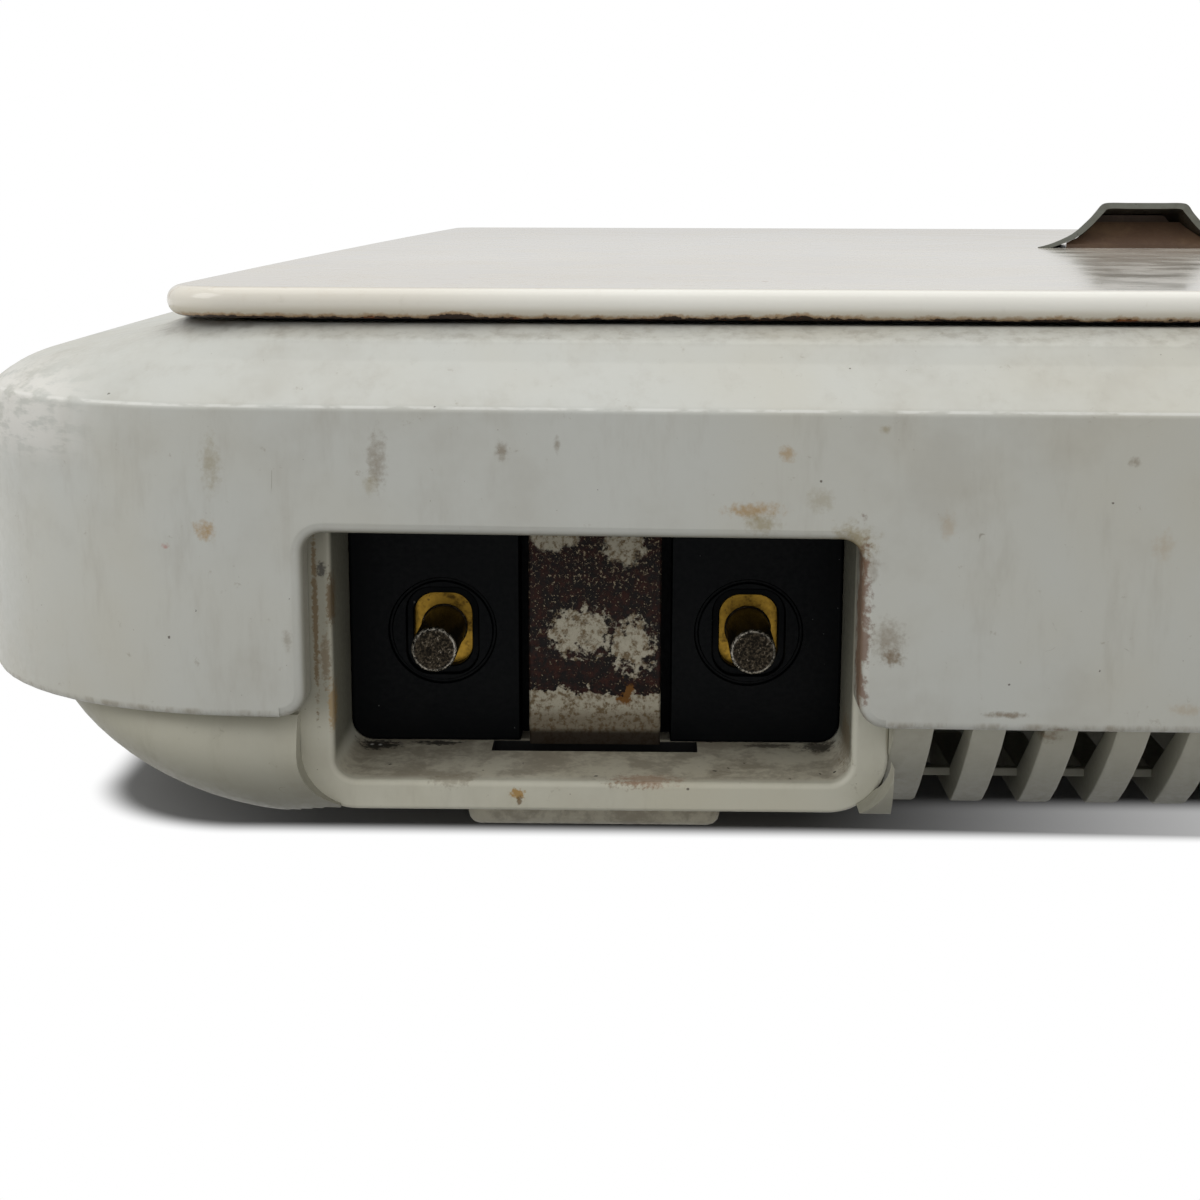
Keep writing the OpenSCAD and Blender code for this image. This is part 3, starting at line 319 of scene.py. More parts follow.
def cutout_ring(grow, depth=None, y=None):
    """The plug opening's outline, open below, at a depth behind the bowed face or at a flat y."""
    left, right, top, r, flare, below = OPENING_LEFT, OPENING_RIGHT, RECESS_TOP, 2, 2.6, 11
    low = SPLIT_Z + flare
    points = [(left - flare, below)]
    points += arc(left - flare, low, flare - grow, -90, 0, 10)
    points += arc(left + r, top - r, r + grow, 180, 90, 10)
    points += [(left + r + (right - left - 2 * r) * i / 24, top + grow) for i in range(1, 24)]
    points += arc(right - r, top - r, r + grow, 90, 0, 10)
    points += arc(right + flare, low, flare - grow, 180, 270, 10)
    points += [(right + flare - (right - left + 2 * flare) * i / 24, below) for i in range(24)]
    return [(x, FRONT_Y + end_fall(x) + depth if y is None else y, z) for x, z in points]


def make_upper_housing():
    outside = [(WALL, WALL, SPLIT_Z, CORNER - WALL, 1), (0, 0, SPLIT_Z, CORNER, 1),
               (0, 0, SHOULDER_Z, CORNER, 1)]
    turns = [5, 10, 15, 19] + [22 + 0.8 * i for i in range(12)]
    turns += [34, 38, 43, 48, 53, 58, 63, 68, SHOULDER_TURN]
    outside += [shoulder(turn) for turn in turns]
    crease = len(outside)
    outside += [(7.4, 20.5, 52.8, 15, 1), (11.4, 24.5, 54.1, 11, 1), (17.5, 30.2, 54.1, 9, 0),
                (17.5, 30.2, 51.2, 9, 0), (23.5, 36.2, 51.2, 7, 0), (23.5, 36.2, 48.2, 7, 0),
                (13, 25.7, 48.2, 12, 0), (12.6, 25, 51.2, 12, 0.2)]
    outside += [shoulder(SHOULDER_TURN * i / 6, WALL) for i in range(6, -1, -1)]
    steps = soften(outside, {0: 0.4, 1: 0.8, crease - 1: 0.8, crease: 1.4, crease + 1: 0.7,
                             crease + 2: 0.8, crease + 4: 0.5})
    shell = loft("upper_shell", [body_ring(s) for s in steps], loop=True)
    collar_ring = upright(-120, -62.1, SPLIT_Z, RECESS_TOP + 2.2, 0.3, 4.2)
    collar = loft("collar", [at_y(y, collar_ring) for y in (FRONT_Y + 3.4, BEZEL_Y - 0.3)])
    combine(shell, [collar], "UNION")
    rings = [cutout_ring(LIP_R + 1.2, y=FRONT_Y - 12), cutout_ring(LIP_R + 1.2, -0.5)]
    rings += [cutout_ring(grow, depth or -0.01) for grow, depth in rounding(LIP_R, 8)]
    rings.append(cutout_ring(0, y=BEZEL_Y + 1))
    opening = loft("opening", rings)
    holes = [turned("hole", x, CONTROL_Z, [(FRONT_Y - 2, radius), (FRONT_Y + 7, radius)], 48)
             for x, radius in ((LAMP_X, LENS_R), (KNOB_X, SHAFT_HOLE_R))]
    combine(shell, [opening] + holes, "DIFFERENCE")
    smooth(shell)
    pad = turned("dial_pad", KNOB_X, CONTROL_Z, [
        (PAD_Y, 3.7), (PAD_Y, 12.7), (PAD_Y + 0.15, 12.9), (PAD_Y + 0.4, 13),
        (FRONT_Y + 6, 13), (FRONT_Y + 6, 3.7)], 96, cap=False)
    smooth(pad)
    return shell, pad


# --- Lower housing --------------------------------------------------------------------------

HULL_H = SPLIT_Z - 0.3 - HULL_BOTTOM
SIDE_RUN = 28.9
END_RUN = 5.3
DRAIN_PITCH = 14
SCREW_X = 128.5
SCREW_ROWS = (-128, 0, 146)


def bilge(run, h):
    """How far the rounded bottom corner has pulled in at a height, for a run along the bottom."""
    r = (run * run + HULL_H * HULL_H) / (2 * HULL_H)
    return run - math.sqrt(max(0, r * r - (r - h) ** 2))


def hull_step(turn, thick=0):
    """A body_ring step of the hull's rounded bottom, at a turn of 0 to 90 degrees."""
    level = math.cos(math.radians(turn))
    h = HULL_H * (1 - level)
    side = bilge(SIDE_RUN, h)
    corner = max(20.5 - 18.5 * side / SIDE_RUN - thick, 1)
    return (2.7 + bilge(END_RUN, h) + thick, 9.5 + side + thick, HULL_BOTTOM + h + thick * level,
            corner, 1)


def make_hull():
    inside = [hull_step(t, WALL) for t in range(0, 91, 10)] + [(4.9, 4.9, HULL_TOP, 29.1, 1)]
    outside = [(2.9, 2.9, HULL_TOP, 31.1, 1), (3.3, 9, 16.4, 24, 1)]
    outside += [hull_step(90 - t) for t in range(0, 91, 6)]
    hull = loft("hull_shell", [body_ring(s) for s in inside + outside])
    near_y = FRONT_Y - 5
    frame_ring = upright(FRAME_LEFT + 0.3, FRAME_RIGHT, FRAME_BOTTOM + 0.3, 31, FRAME_R, 0.5, 16)
    rooms = [
        box("vent_room", (FRAME_RIGHT, near_y, -1), (VENT_RIGHT, FRONT_Y + 32, 30)),
        loft("frame_room", [at_y(y, frame_ring) for y in (near_y, BEZEL_Y + 20)]),
        box("under_frame", (FRAME_LEFT + 0.72 * FRAME_R, near_y, -1.5),
            (FRAME_RIGHT + 0.1, BEZEL_Y + 20.3, FRAME_BOTTOM + 1)),
        box("collar_room", (-120.4, near_y, SPLIT_Z - 0.3), (FRAME_LEFT + 1, BEZEL_Y, 31)),
        box("pad_room", (KNOB_X - 14, FRONT_Y - 1, SPLIT_Z - 0.3), (KNOB_X + 14, FRONT_Y + 7, 30))]
    # The hull's bottom rises in fine steps to meet the bottom of the frame
    rise = (FRAME_BOTTOM + 0.2 - HULL_BOTTOM) / 8
    rooms += [box("frame_rise", (FRAME_LEFT - 6 + 1.2 * i, near_y, -1.5 - 0.02 * i),
                  (FRAME_LEFT + 4.6 + 0.01 * i, BEZEL_Y + 6, HULL_BOTTOM + rise * (i + 1)))
              for i in range(8)]
    slots = [box("drain", (i * DRAIN_PITCH - 2, -90, 0), (i * DRAIN_PITCH + 2, 90, 10))
             for i in range(-4, 5)]
    bores = [turned("bore", x, 0, [(-1, 3.4), (8, 3.4)], 32, "z", y)
             for x in (-SCREW_X, SCREW_X) for y in SCREW_ROWS]
    combine(hull, rooms + [join_all(slots[0], slots[1:] + bores)], "DIFFERENCE")
    return smooth(hull)


SLOT_HALF = 10.75
SLOT_LONG = 3.1
TAB_HALF = 13.05


def make_inlet_frame():
    def outside(y, shrink):
        return at_y(y, upright(FRAME_LEFT + shrink, FRAME_RIGHT - shrink, FRAME_BOTTOM + shrink,
                               37.8 - shrink, FRAME_R - shrink, 0.9, 16))

    def inside(y, grow, floor):
        return at_y(y, upright(RECESS_LEFT - grow, RECESS_RIGHT + grow, floor - grow, RECESS_TOP + 0.5,
                               2.2 + grow, 0.3, 16))

    rings = [outside(BEZEL_BACK, 0)]
    rings += [outside(BEZEL_Y + across, inward) for across, inward in rounding(0.4, 6)]
    rings += [inside(BEZEL_Y + inward, across, FLOOR_FRONT_Z) for across, inward in rounding(0.6, 6)]
    rings += [inside(y, 0, FLOOR_BACK_Z) for y in (BLOCK_Y, BEZEL_BACK)]
    bezel = loft("inlet_frame", rings, loop=True)
    slot = box("floor_slot", (INLET_X - SLOT_HALF, BLOCK_Y - SLOT_LONG, 7.3),
               (INLET_X + SLOT_HALF, BLOCK_Y + 1, 11))
    smooth(combine(bezel, [slot], "DIFFERENCE"), 40)
    tab = box("foot_tab", (INLET_X - TAB_HALF, BEZEL_Y + 6.5, 2.4), (INLET_X + TAB_HALF, BEZEL_Y + 18, 7.2))
    round_edges(tab, 1.3)
    smooth(tab)
    sill = box("frame_sill", (FRAME_LEFT + FRAME_R - 1, BEZEL_Y + 10, HULL_BOTTOM + 0.1),
               (FRAME_RIGHT, BEZEL_Y + 21, 7.2))
    smooth(sill)
    return bezel, tab, sill


# A rib's side as [inset from the end, height]
RIB = [(2.7, HULL_TOP), (2.7, 15.9), (4.9, 13.3), (8.4, 9.9), (11.3, 7.4), (14.2, 5.3),
       (15.4, HULL_BOTTOM), (32, HULL_BOTTOM), (32, 8.4), (16, 8.4), (5.4, SPLIT_Z), (5.4, HULL_TOP)]
VENT_RIBS = 16
VENT_PITCH = 6.95
RIB_W = 3.35
FIRST_GAP = 3.6
LEFT_END = -56.6
RIGHT_END = 58.2


def extruded_rib(name, x0, x1, fall=0.0):
    count = len(RIB)
    points = [(x, FRONT_Y + inset + fall, z) for x in (x0, x1) for inset, z in RIB]
    faces = [tuple(range(count)), tuple(reversed(range(count, 2 * count)))]
    faces += [(i, i + count, (i + 1) % count + count, (i + 1) % count) for i in range(count)]
    rib = new_object(name, points, faces)
    tidy_mesh(rib)
    return round_edges(rib, 0.28, segments=2)


def rib_row_tree(material):
    """Geometry Nodes: one rib, repeated along the bowed end of the body."""
    tree = bpy.data.node_groups.new("vent rib row", "GeometryNodeTree")
    sockets = {"Rib": "Geometry", "Ribs": "Int", "First": "Float", "Pitch": "Float", "Bow": "Float"}
    for label, kind in sockets.items():
        tree.interface.new_socket(label, in_out="INPUT", socket_type="NodeSocket" + kind)
    tree.interface.new_socket("Row", in_out="OUTPUT", socket_type="NodeSocketGeometry")
    t = Tree(tree)
    given = t.node("NodeGroupInput").outputs
    first = t.node("ShaderNodeCombineXYZ")
    t.feed(first.inputs["X"], given["First"])
    step = t.node("ShaderNodeCombineXYZ")
    t.feed(step.inputs["X"], given["Pitch"])
    line = t.node("GeometryNodeMeshLine")
    t.feed(line.inputs["Count"], given["Ribs"])
    t.feed(line.inputs["Start Location"], first.outputs[0])
    t.feed(line.inputs["Offset"], step.outputs[0])
    place = t.node("ShaderNodeSeparateXYZ")
    t.feed(place.inputs[0], t.node("GeometryNodeInputPosition").outputs[0])
    square = t.math("MULTIPLY", place.outputs["X"], place.outputs["X"])
    back = t.node("ShaderNodeCombineXYZ")
    t.feed(back.inputs["Y"], t.math("MULTIPLY", square, given["Bow"]))
    move = t.node("GeometryNodeSetPosition")
    t.feed(move.inputs["Geometry"], line.outputs[0])
    t.feed(move.inputs["Offset"], back.outputs[0])
    spread = t.node("GeometryNodeInstanceOnPoints")
    t.feed(spread.inputs["Points"], move.outputs[0])
    t.feed(spread.inputs["Instance"], given["Rib"])
    real = t.node("GeometryNodeRealizeInstances")
    t.feed(real.inputs[0], spread.outputs[0])
    finish = t.node("GeometryNodeSetMaterial")
    t.feed(finish.inputs["Material"], material)
    t.feed(finish.inputs["Geometry"], real.outputs[0])
    t.feed(t.node("NodeGroupOutput").inputs[0], finish.outputs[0])
    return tree


def set_inputs(modifier, **values):
    sockets = modifier.node_group.interface.items_tree
    named = {s.name: s.identifier for s in sockets if s.in_out == "INPUT"}
    for name, value in values.items():
        modifier[named[name]] = value


def make_vents(material):
    row = extruded_rib("vent_ribs", -RIB_W / 2, RIB_W / 2)
    repeat = row.modifiers.new("row", "NODES")
    repeat.node_group = rib_row_tree(material)
    set_inputs(repeat, Ribs=VENT_RIBS, First=(LEFT_END + FIRST_GAP + RIB_W / 2) * MM,
               Pitch=VENT_PITCH * MM, Bow=BOW_RATE / MM)
    apply_modifiers(row)
    smooth(row, 40)
    ends = extruded_rib("vent_end_left", FRAME_RIGHT, LEFT_END, end_fall(FRAME_RIGHT))
    right_end = extruded_rib("vent_end_right", RIGHT_END, VENT_RIGHT, end_fall((RIGHT_END + VENT_RIGHT) / 2))
    smooth(join_all(ends, [right_end]), 40)
    rails = box("vent_rails", (FRAME_RIGHT, FRONT_Y + 16, 7.5), (VENT_RIGHT, FRONT_Y + 17.2, 8.4))
    join_all(rails, [
        box("sill", (FRAME_RIGHT, FRONT_Y + 30, HULL_BOTTOM), (VENT_RIGHT, FRONT_Y + 34, 10.5)),
        box("top_rail", (FRAME_RIGHT, FRONT_Y + 4, SPLIT_Z), (VENT_RIGHT, FRONT_Y + 7.4, HULL_TOP))])
    round_edges(rails, 0.2, segments=2)
    smooth(rails)
    return row, ends, rails


# --- Lid and pull ---------------------------------------------------------------------------

LID_HALF_W = 134.7
LID_HALF_L = 164.1
ROLL_R = 1.55
ROLL_Z = 56.05


def make_lid():
    """The lid's sheet with its rolled edge."""
    rings = [(3.1, 3.1, 56.6, 5, 1), (3.1, 3.1, 54.9, 5, 1)]
    for i in range(19):
        t = math.radians(-90 + 180 * i / 18)
        inset = ROLL_R - ROLL_R * math.cos(t)
        rings.append((inset, inset, ROLL_Z + ROLL_R * math.sin(t), 8 - inset, 1))
    rings += [(2.6, 2.6, LID_TOP, 6, 1), (9, 9, LID_TOP, 5, 1)]
    lid = loft("lid_sheet", [body_ring(r, LID_HALF_W, LID_HALF_L, 1, 1.4) for r in rings])
    return smooth(lid)


def smooth_line(points, steps=4):
    """A smooth line through [x, z] points, its two ends kept."""
    made = []
    last = len(points) - 1
    for i in range(last):
        a, b, c, d = points[max(i - 1, 0)], points[i], points[i + 1], points[min(i + 2, last)]
        for s in range(steps):
            t = s / steps
            made.append(tuple(0.5 * (2 * q + (r - p) * t + (2 * p - 5 * q + 4 * r - w) * t * t
                                     + (3 * q - p - 3 * r + w) * t ** 3) for p, q, r, w in zip(a, b, c, d)))
    return made + [tuple(points[last])]


def make_pull():
    out = smooth_line([(17.8, 0.12), (15.4, 0.8), (12.2, 2.3), (10, 4.2), (8.3, 6.0), (7.4, 7.2),
                       (6.2, 7.6), (3, 7.6)])
    inn = smooth_line([(3, 6.6), (6, 6.6), (6.9, 5.9), (8.8, 3.8), (10.9, 2), (13.4, 0.8), (15.6, 0)])
    outer = out + [(-x, z) for x, z in reversed(out)]
    inner = [(-x, z) for x, z in reversed(inn)] + inn
    ring = outer + [(-17.8, 0)] + inner + [(17.8, 0)]
    pull = loft("pull_arch", [[(x * share, y, LID_TOP + z * share) for x, z in ring]
                              for y, share in ((-12, 1), (12, 0.58))])
    round_edges(pull, 0.35, 50)
    return smooth(pull, 40)


# --- Inlet ----------------------------------------------------------------------------------

def window_ring(x, half_w, half_h, corner, y):
    return at_y(y, upright(x - half_w, x + half_w, PIN_Z - half_h, PIN_Z + half_h, corner, corner))


def make_block():
    def ring(y, shrink=0.0):
        return at_y(y, upright(RECESS_LEFT + 0.05 + shrink, RECESS_RIGHT - 0.05 - shrink,
                               FLOOR_BACK_Z + 0.05 + shrink, RECESS_TOP + 0.45 - shrink, 2.2, 0.4))
    block = loft("moulded_block", [ring(BEZEL_BACK + 4), ring(BLOCK_Y + 0.3), ring(BLOCK_Y + 0.09, 0.09),
                                   ring(BLOCK_Y, 0.3)])
    tools = [loft("channel", [
        at_y(BLOCK_Y + depth, [(INLET_X - w, 0), (INLET_X + w, 0), (INLET_X + w, 50), (INLET_X - w, 50)])
        for depth, w in ((-0.3, 8.2), (0.05, 8.0), (0.3, 7.9), (4, 7.9))])]
    window_steps = [(3.95, 4.8, 2.7, BLOCK_Y - 0.4), (3.85, 4.7, 2.6, BLOCK_Y + 0.02),
                    (3.75, 4.6, 2.5, BLOCK_Y + 0.15), (3.7, 4.55, 2.5, BLOCK_Y + 0.65),
                    (3.15, 4.0, 2.2, BLOCK_Y + 0.72), (3.05, 3.9, 2.2, BLOCK_Y + 0.9),
                    (3.05, 3.9, 2.2, PLATE_Y + 0.02)]
    for x in (INLET_X - PIN_HALF_SPAN, INLET_X + PIN_HALF_SPAN):
        tools.append(loft("window", [window_ring(x, *step) for step in window_steps]))
        tools.append(loft("pocket", [window_ring(x, 6, 6.5, 0.2, y) for y in (PLATE_Y, BEZEL_BACK + 5)]))
        tools.append(turned("groove", x, PIN_Z, [
            (BLOCK_Y - 0.3, 5.15), (BLOCK_Y - 0.3, 5.75), (BLOCK_Y + 0.02, 5.7), (BLOCK_Y + 0.4, 5.55),
            (BLOCK_Y + 0.4, 5.35), (BLOCK_Y + 0.02, 5.2)], 96, cap=False))
    combine(block, tools, "DIFFERENCE")
    wing = box("block_wings", (RECESS_LEFT - 8, BEZEL_BACK, PIN_Z - 5),
               (RECESS_RIGHT + 8, BEZEL_BACK + 4, PIN_Z + 5))
    round_edges(wing, 0.4)
    join_all(block, [wing])
    return smooth(block)


def make_pin(name, side):
    back = PLATE_Y + 0.05
    steps = [(back + 1.35, 1.7), (back, 1.7), (back, 2.42), (back - 0.16, 2.46), (back - 0.24, 2.36),
             (back - 0.25, 2.3), (PIN_TIP_Y + 0.35, 2.3), (PIN_TIP_Y + 0.22, 2.27),
             (PIN_TIP_Y + 0.08, 2.16), (PIN_TIP_Y + 0.015, 2.02), (PIN_TIP_Y, 1.9), (PIN_TIP_Y, 0.6)]
    return smooth(turned(name, INLET_X + side * PIN_HALF_SPAN, PIN_Z, steps, 72), 50)


def make_strip():
    """The iron strip between the pins, a little bowed, on its two legs."""
    half_w, sheet, low, high, bow, count = 6.85, 1.4, 10.0, 35.0, 60, 30
    mid = (low + high) / 2
    rings = []
    for i in range(count + 1):
        z = low + (high - low) * i / count
        y = STRIP_Y + bow - math.sqrt(bow * bow - (z - mid) ** 2)
        section = upright(INLET_X - half_w, INLET_X + half_w, y, y + sheet, 0.3, 0.3, 4)
        rings.append([(x, sy, z) for x, sy in section])
    strip = loft("keeper_face", rings)
    legs = [box("leg", (INLET_X - half_w, STRIP_Y + 1, z), (INLET_X + half_w, BLOCK_Y + 4, z + sheet))
            for z in (12, 31.6)]
    join_all(strip, legs)
    return smooth(strip, 50)


# --- Control --------------------------------------------------------------------------------

DIAL_Y = PAD_Y - 0.9
KNOB_H = 12
KNOB_FRONT = DIAL_Y - 0.3 - KNOB_H
KNOB_BACK = KNOB_FRONT + KNOB_H


def make_knob():
    rings = []
    flutes, sides = 18, 216
    for y, radius, depth in [
            (KNOB_BACK, 3.1, 0), (KNOB_BACK, 9.9, 0), (KNOB_BACK - 0.3, 10.25, 0),
            (KNOB_BACK - 2.6, 10.3, 0), (KNOB_BACK - 2.95, 10.1, 0), (KNOB_BACK - 3.1, 9.2, 0.2),
            (KNOB_BACK - 3.5, 8.85, 0.7), (KNOB_FRONT + 1.6, 8.6, 0.7), (KNOB_FRONT + 0.7, 8.35, 0.5),
            (KNOB_FRONT + 0.2, 7.9, 0.2), (KNOB_FRONT, 7.2, 0), (KNOB_FRONT, 6.6, 0),
            (KNOB_FRONT + 0.25, 6.3, 0), (KNOB_FRONT + 0.35, 1.5, 0)]:
        ring = []
        for i in range(sides):
            a = 2 * math.pi * i / sides
            r = radius - depth * max(0, math.cos(flutes * a)) ** 2
            ring.append((KNOB_X + r * math.cos(a), y, CONTROL_Z + r * math.sin(a)))
        rings.append(ring)
    knob = loft("knob_grip", rings)
    smooth(knob, 40)
    pointer = box("pointer_line", (KNOB_X - 0.5, KNOB_FRONT + 0.05, CONTROL_Z + 1.6),
                  (KNOB_X + 0.5, KNOB_FRONT + 0.8, CONTROL_Z + 6.2))
    round_edges(pointer, 0.18)
    smooth(pointer)
    return knob, pointer


def make_dial():
    dial = turned("dial_disc", KNOB_X, CONTROL_Z, [
        (PAD_Y, 3.6), (DIAL_Y + 0.1, 3.6), (DIAL_Y, 3.7), (DIAL_Y, 12.45), (DIAL_Y + 0.1, 12.7),
        (DIAL_Y + 0.3, 12.8), (PAD_Y, 12.8)], 96, cap=False)
    return smooth(dial, 40)


def make_lens():
    front = FRONT_Y - 0.3
    lens = turned("lens_dome", LAMP_X, CONTROL_Z, [
        (FRONT_Y + 8, 3), (FRONT_Y + 8, 5.4), (FRONT_Y + 6, 5.4), (FRONT_Y + 6, 3.98),
        (front + 0.7, 3.98), (front + 0.35, 3.8), (front + 0.12, 3.3), (front + 0.03, 2.4),
        (front, 1.0)], 64)
    return smooth(lens, 40)


def make_spring():
    """The sensor's spring, a piece of its own because it shortens as the plunger goes down."""
    solid = frame["nodes"]["sensor_spring"]
    mesh = solid.data.copy()
    mesh.transform(solid.matrix_world)
    coil = bpy.data.objects.new("coil_spring", mesh)
    bpy.context.scene.collection.objects.link(coil)
    return coil


FOOT_X = 108
FOOT_Y = 132


def make_feet():
    profile = [(0.35, 1.2), (0.35, 5.8), (0, 6.2), (0, 8.3), (0.12, 8.75), (0.45, 9), (4.2, 9),
               (HULL_BOTTOM, 8.7), (HULL_BOTTOM, 2.45), (7.3, 2.45), (7.3, 3.2), (8.4, 3.1), (8.7, 2.6),
               (8.7, 0.8)]
    feet = [turned("rubber_foot", x, 0, profile, 64, "z", y)
            for x in (-FOOT_X, FOOT_X) for y in (-FOOT_Y, FOOT_Y)]
    return smooth(join_all(feet[0], feet[1:]), 40)


# --- Finishes -------------------------------------------------------------------------------

def tone(r, g, b):
    """A colour written as it shows on a screen, 0 to 255."""
    def linear(v):
        v /= 255
        return v / 12.92 if v <= 0.04045 else ((v + 0.055) / 1.055) ** 2.4
    return (linear(r), linear(g), linear(b), 1)


class Tree:
    """Short ways to place and join nodes in a material or a node group."""

    def __init__(self, tree):
        self.tree = tree

    def node(self, kind, **settings):
        made = self.tree.nodes.new(kind)
        for name, value in settings.items():
            setattr(made, name, value)
        return made

    def feed(self, socket, value):
        if isinstance(value, bpy.types.NodeSocket):
            self.tree.links.new(value, socket)
        else:
            socket.default_value = value

    def math(self, how, a, b=0.0, c=0.0):
        made = self.node("ShaderNodeMath", operation=how)
        for socket, value in zip(made.inputs, (a, b, c)):
            self.feed(socket, value)
        return made.outputs[0]

    def vector(self, how, a, b=(0, 0, 0), scale=None):
        made = self.node("ShaderNodeVectorMath", operation=how)
        self.feed(made.inputs[0], a)
        self.feed(made.inputs[1], b)
        if scale is not None:
            self.feed(made.inputs["Scale"], scale)
        return made.outputs["Value" if how in ("LENGTH", "DISTANCE", "DOT_PRODUCT") else "Vector"]

    def stretch(self, where, x=1.0, y=1.0, z=1.0):
        return self.vector("MULTIPLY", where, (x, y, z))

    def noise(self, where, scale, detail=3.0, rough=0.55, distort=0.0):
        made = self.node("ShaderNodeTexNoise")
        self.feed(made.inputs["Vector"], where)
        names = ("Scale", "Detail", "Roughness", "Distortion")
        for name, value in zip(names, (scale, detail, rough, distort)):
            self.feed(made.inputs[name], value)
        return made.outputs[0]

    def cells(self, where, scale, jitter=1.0):
        made = self.node("ShaderNodeTexVoronoi")
        self.feed(made.inputs["Vector"], where)
        self.feed(made.inputs["Scale"], scale)
        self.feed(made.inputs["Randomness"], jitter)
        return made

    def ramp(self, value, low, high, start=0.0, end=1.0):
        """From start below low to end above high, with a smooth step between."""
        made = self.node("ShaderNodeMapRange", interpolation_type="SMOOTHSTEP")
        names = ("Value", "From Min", "From Max", "To Min", "To Max")
        for name, number in zip(names, (value, low, high, start, end)):
            self.feed(made.inputs[name], number)
        return made.outputs[0]

    def mix(self, a, b, amount, how="MIX"):
        made = self.node("ShaderNodeMix", data_type="RGBA", blend_type=how)
        self.feed(made.inputs[0], amount)
        self.feed(made.inputs[6], a)
        self.feed(made.inputs[7], b)
        return made.outputs[2]

    def group(self, tree, **values):
        made = self.node("ShaderNodeGroup")
        made.node_tree = tree
        for name, value in values.items():
            self.feed(made.inputs[name.replace("_", " ")], value)
        return made.outputs[0]


def new_group(name, **inputs):
    """An empty group that turns a place and named inputs into a mask, and its builder."""
    tree = bpy.data.node_groups.new(name, "ShaderNodeTree")
    for label, value in {"Where": (0.0, 0.0, 0.0), **inputs}.items():
        kind = "NodeSocketVector" if isinstance(value, tuple) else "NodeSocketFloat"
        tree.interface.new_socket(label, in_out="INPUT", socket_type=kind).default_value = value
    tree.interface.new_socket("Mask", in_out="OUTPUT", socket_type="NodeSocketFloat")
    build = Tree(tree)
    start = build.node("NodeGroupInput")
    end = build.node("NodeGroupOutput")
    return tree, build, start.outputs, end.inputs[0]


def make_mottle():
    """Soft-edged blotches: 1 where two layers of noise both run high."""
    tree, t, given, out = new_group("mottle", Size=10.0, Spread=0.5, Soft=0.12)
    scale = t.math("DIVIDE", 1.0, given["Size"])
    broad = t.noise(given["Where"], scale, 4.0, 0.6, 0.4)
    fine = t.noise(given["Where"], t.math("MULTIPLY", scale, 5.3), 3.0, 0.7)
    both = t.math("ADD", t.math("MULTIPLY", broad, 0.72), t.math("MULTIPLY", fine, 0.28))
    edge = t.math("SUBTRACT", 1.0, given["Spread"])
    t.feed(out, t.ramp(both, t.math("SUBTRACT", edge, given["Soft"]), t.math("ADD", edge, given["Soft"])))
    return tree


def make_specks():
    """Small separate specks of dirt, fewer where the broad noise is low."""
    tree, t, given, out = new_group("specks", Pitch=2.0, Size=0.16, Share=0.4)
    ragged = t.math("MULTIPLY", t.noise(given["Where"], 2.6, 2.0), 0.004)
    bent = t.vector("ADD", given["Where"], t.vector("SCALE", given["Where"], scale=ragged))
    cell = t.cells(bent, t.math("DIVIDE", 1.0, given["Pitch"]))
    keep = t.node("ShaderNodeSeparateColor")
    t.feed(keep.inputs[0], cell.outputs["Color"])
    size = t.math("MULTIPLY", given["Size"], t.math("ADD", 0.35, keep.outputs[1]))
    dot = t.ramp(cell.outputs["Distance"], t.math("MULTIPLY", size, 0.6), size, 1.0, 0.0)
    chosen = t.math("LESS_THAN", keep.outputs[0], given["Share"])
    t.feed(out, t.math("MULTIPLY", dot, chosen))
    return tree


def make_hairlines():
    """Thin broken scratches that run along the stretched direction."""
    tree, t, given, out = new_group("hairlines", Pitch=2.0, Width=0.02, Share=0.45)
    wander = t.noise(given["Where"], t.math("DIVIDE", 0.7, given["Pitch"]), 2.0, 0.5, 1.2)
    line = t.ramp(t.math("ABSOLUTE", t.math("SUBTRACT", wander, 0.5)), 0.0, given["Width"], 1.0, 0.0)
    gaps = t.noise(given["Where"], t.math("DIVIDE", 2.3, given["Pitch"]), 3.0, 0.7)
    keep = t.ramp(gaps, t.math("SUBTRACT", 1.0, given["Share"]), t.math("SUBTRACT", 1.06, given["Share"]))
    t.feed(out, t.math("MULTIPLY", line, keep))
    return tree


def make_spot():
    """One ragged spot round a centre, in millimetres."""
    tree, t, given, out = new_group("spot", Centre=(0.0, 0.0, 0.0), Reach=(5.0, 5.0, 5.0),
                                    Ragged=0.5, Grain=1.2, Soft=0.3)
    off = t.vector("DIVIDE", t.vector("SUBTRACT", given["Where"], given["Centre"]), given["Reach"])
    far = t.vector("LENGTH", off)
    grain = t.noise(given["Where"], t.math("DIVIDE", 1.0, given["Grain"]), 4.0, 0.65)
    edge = t.math("MULTIPLY", t.math("SUBTRACT", grain, 0.5), t.math("MULTIPLY", given["Ragged"], 3.0))
    t.feed(out, t.ramp(t.math("ADD", far, edge), t.math("SUBTRACT", 1.05, given["Soft"]), 1.05, 1.0, 0.0))
    return tree


MOTTLE = make_mottle()
SPECKS = make_specks()
HAIRLINES = make_hairlines()
SPOT = make_spot()


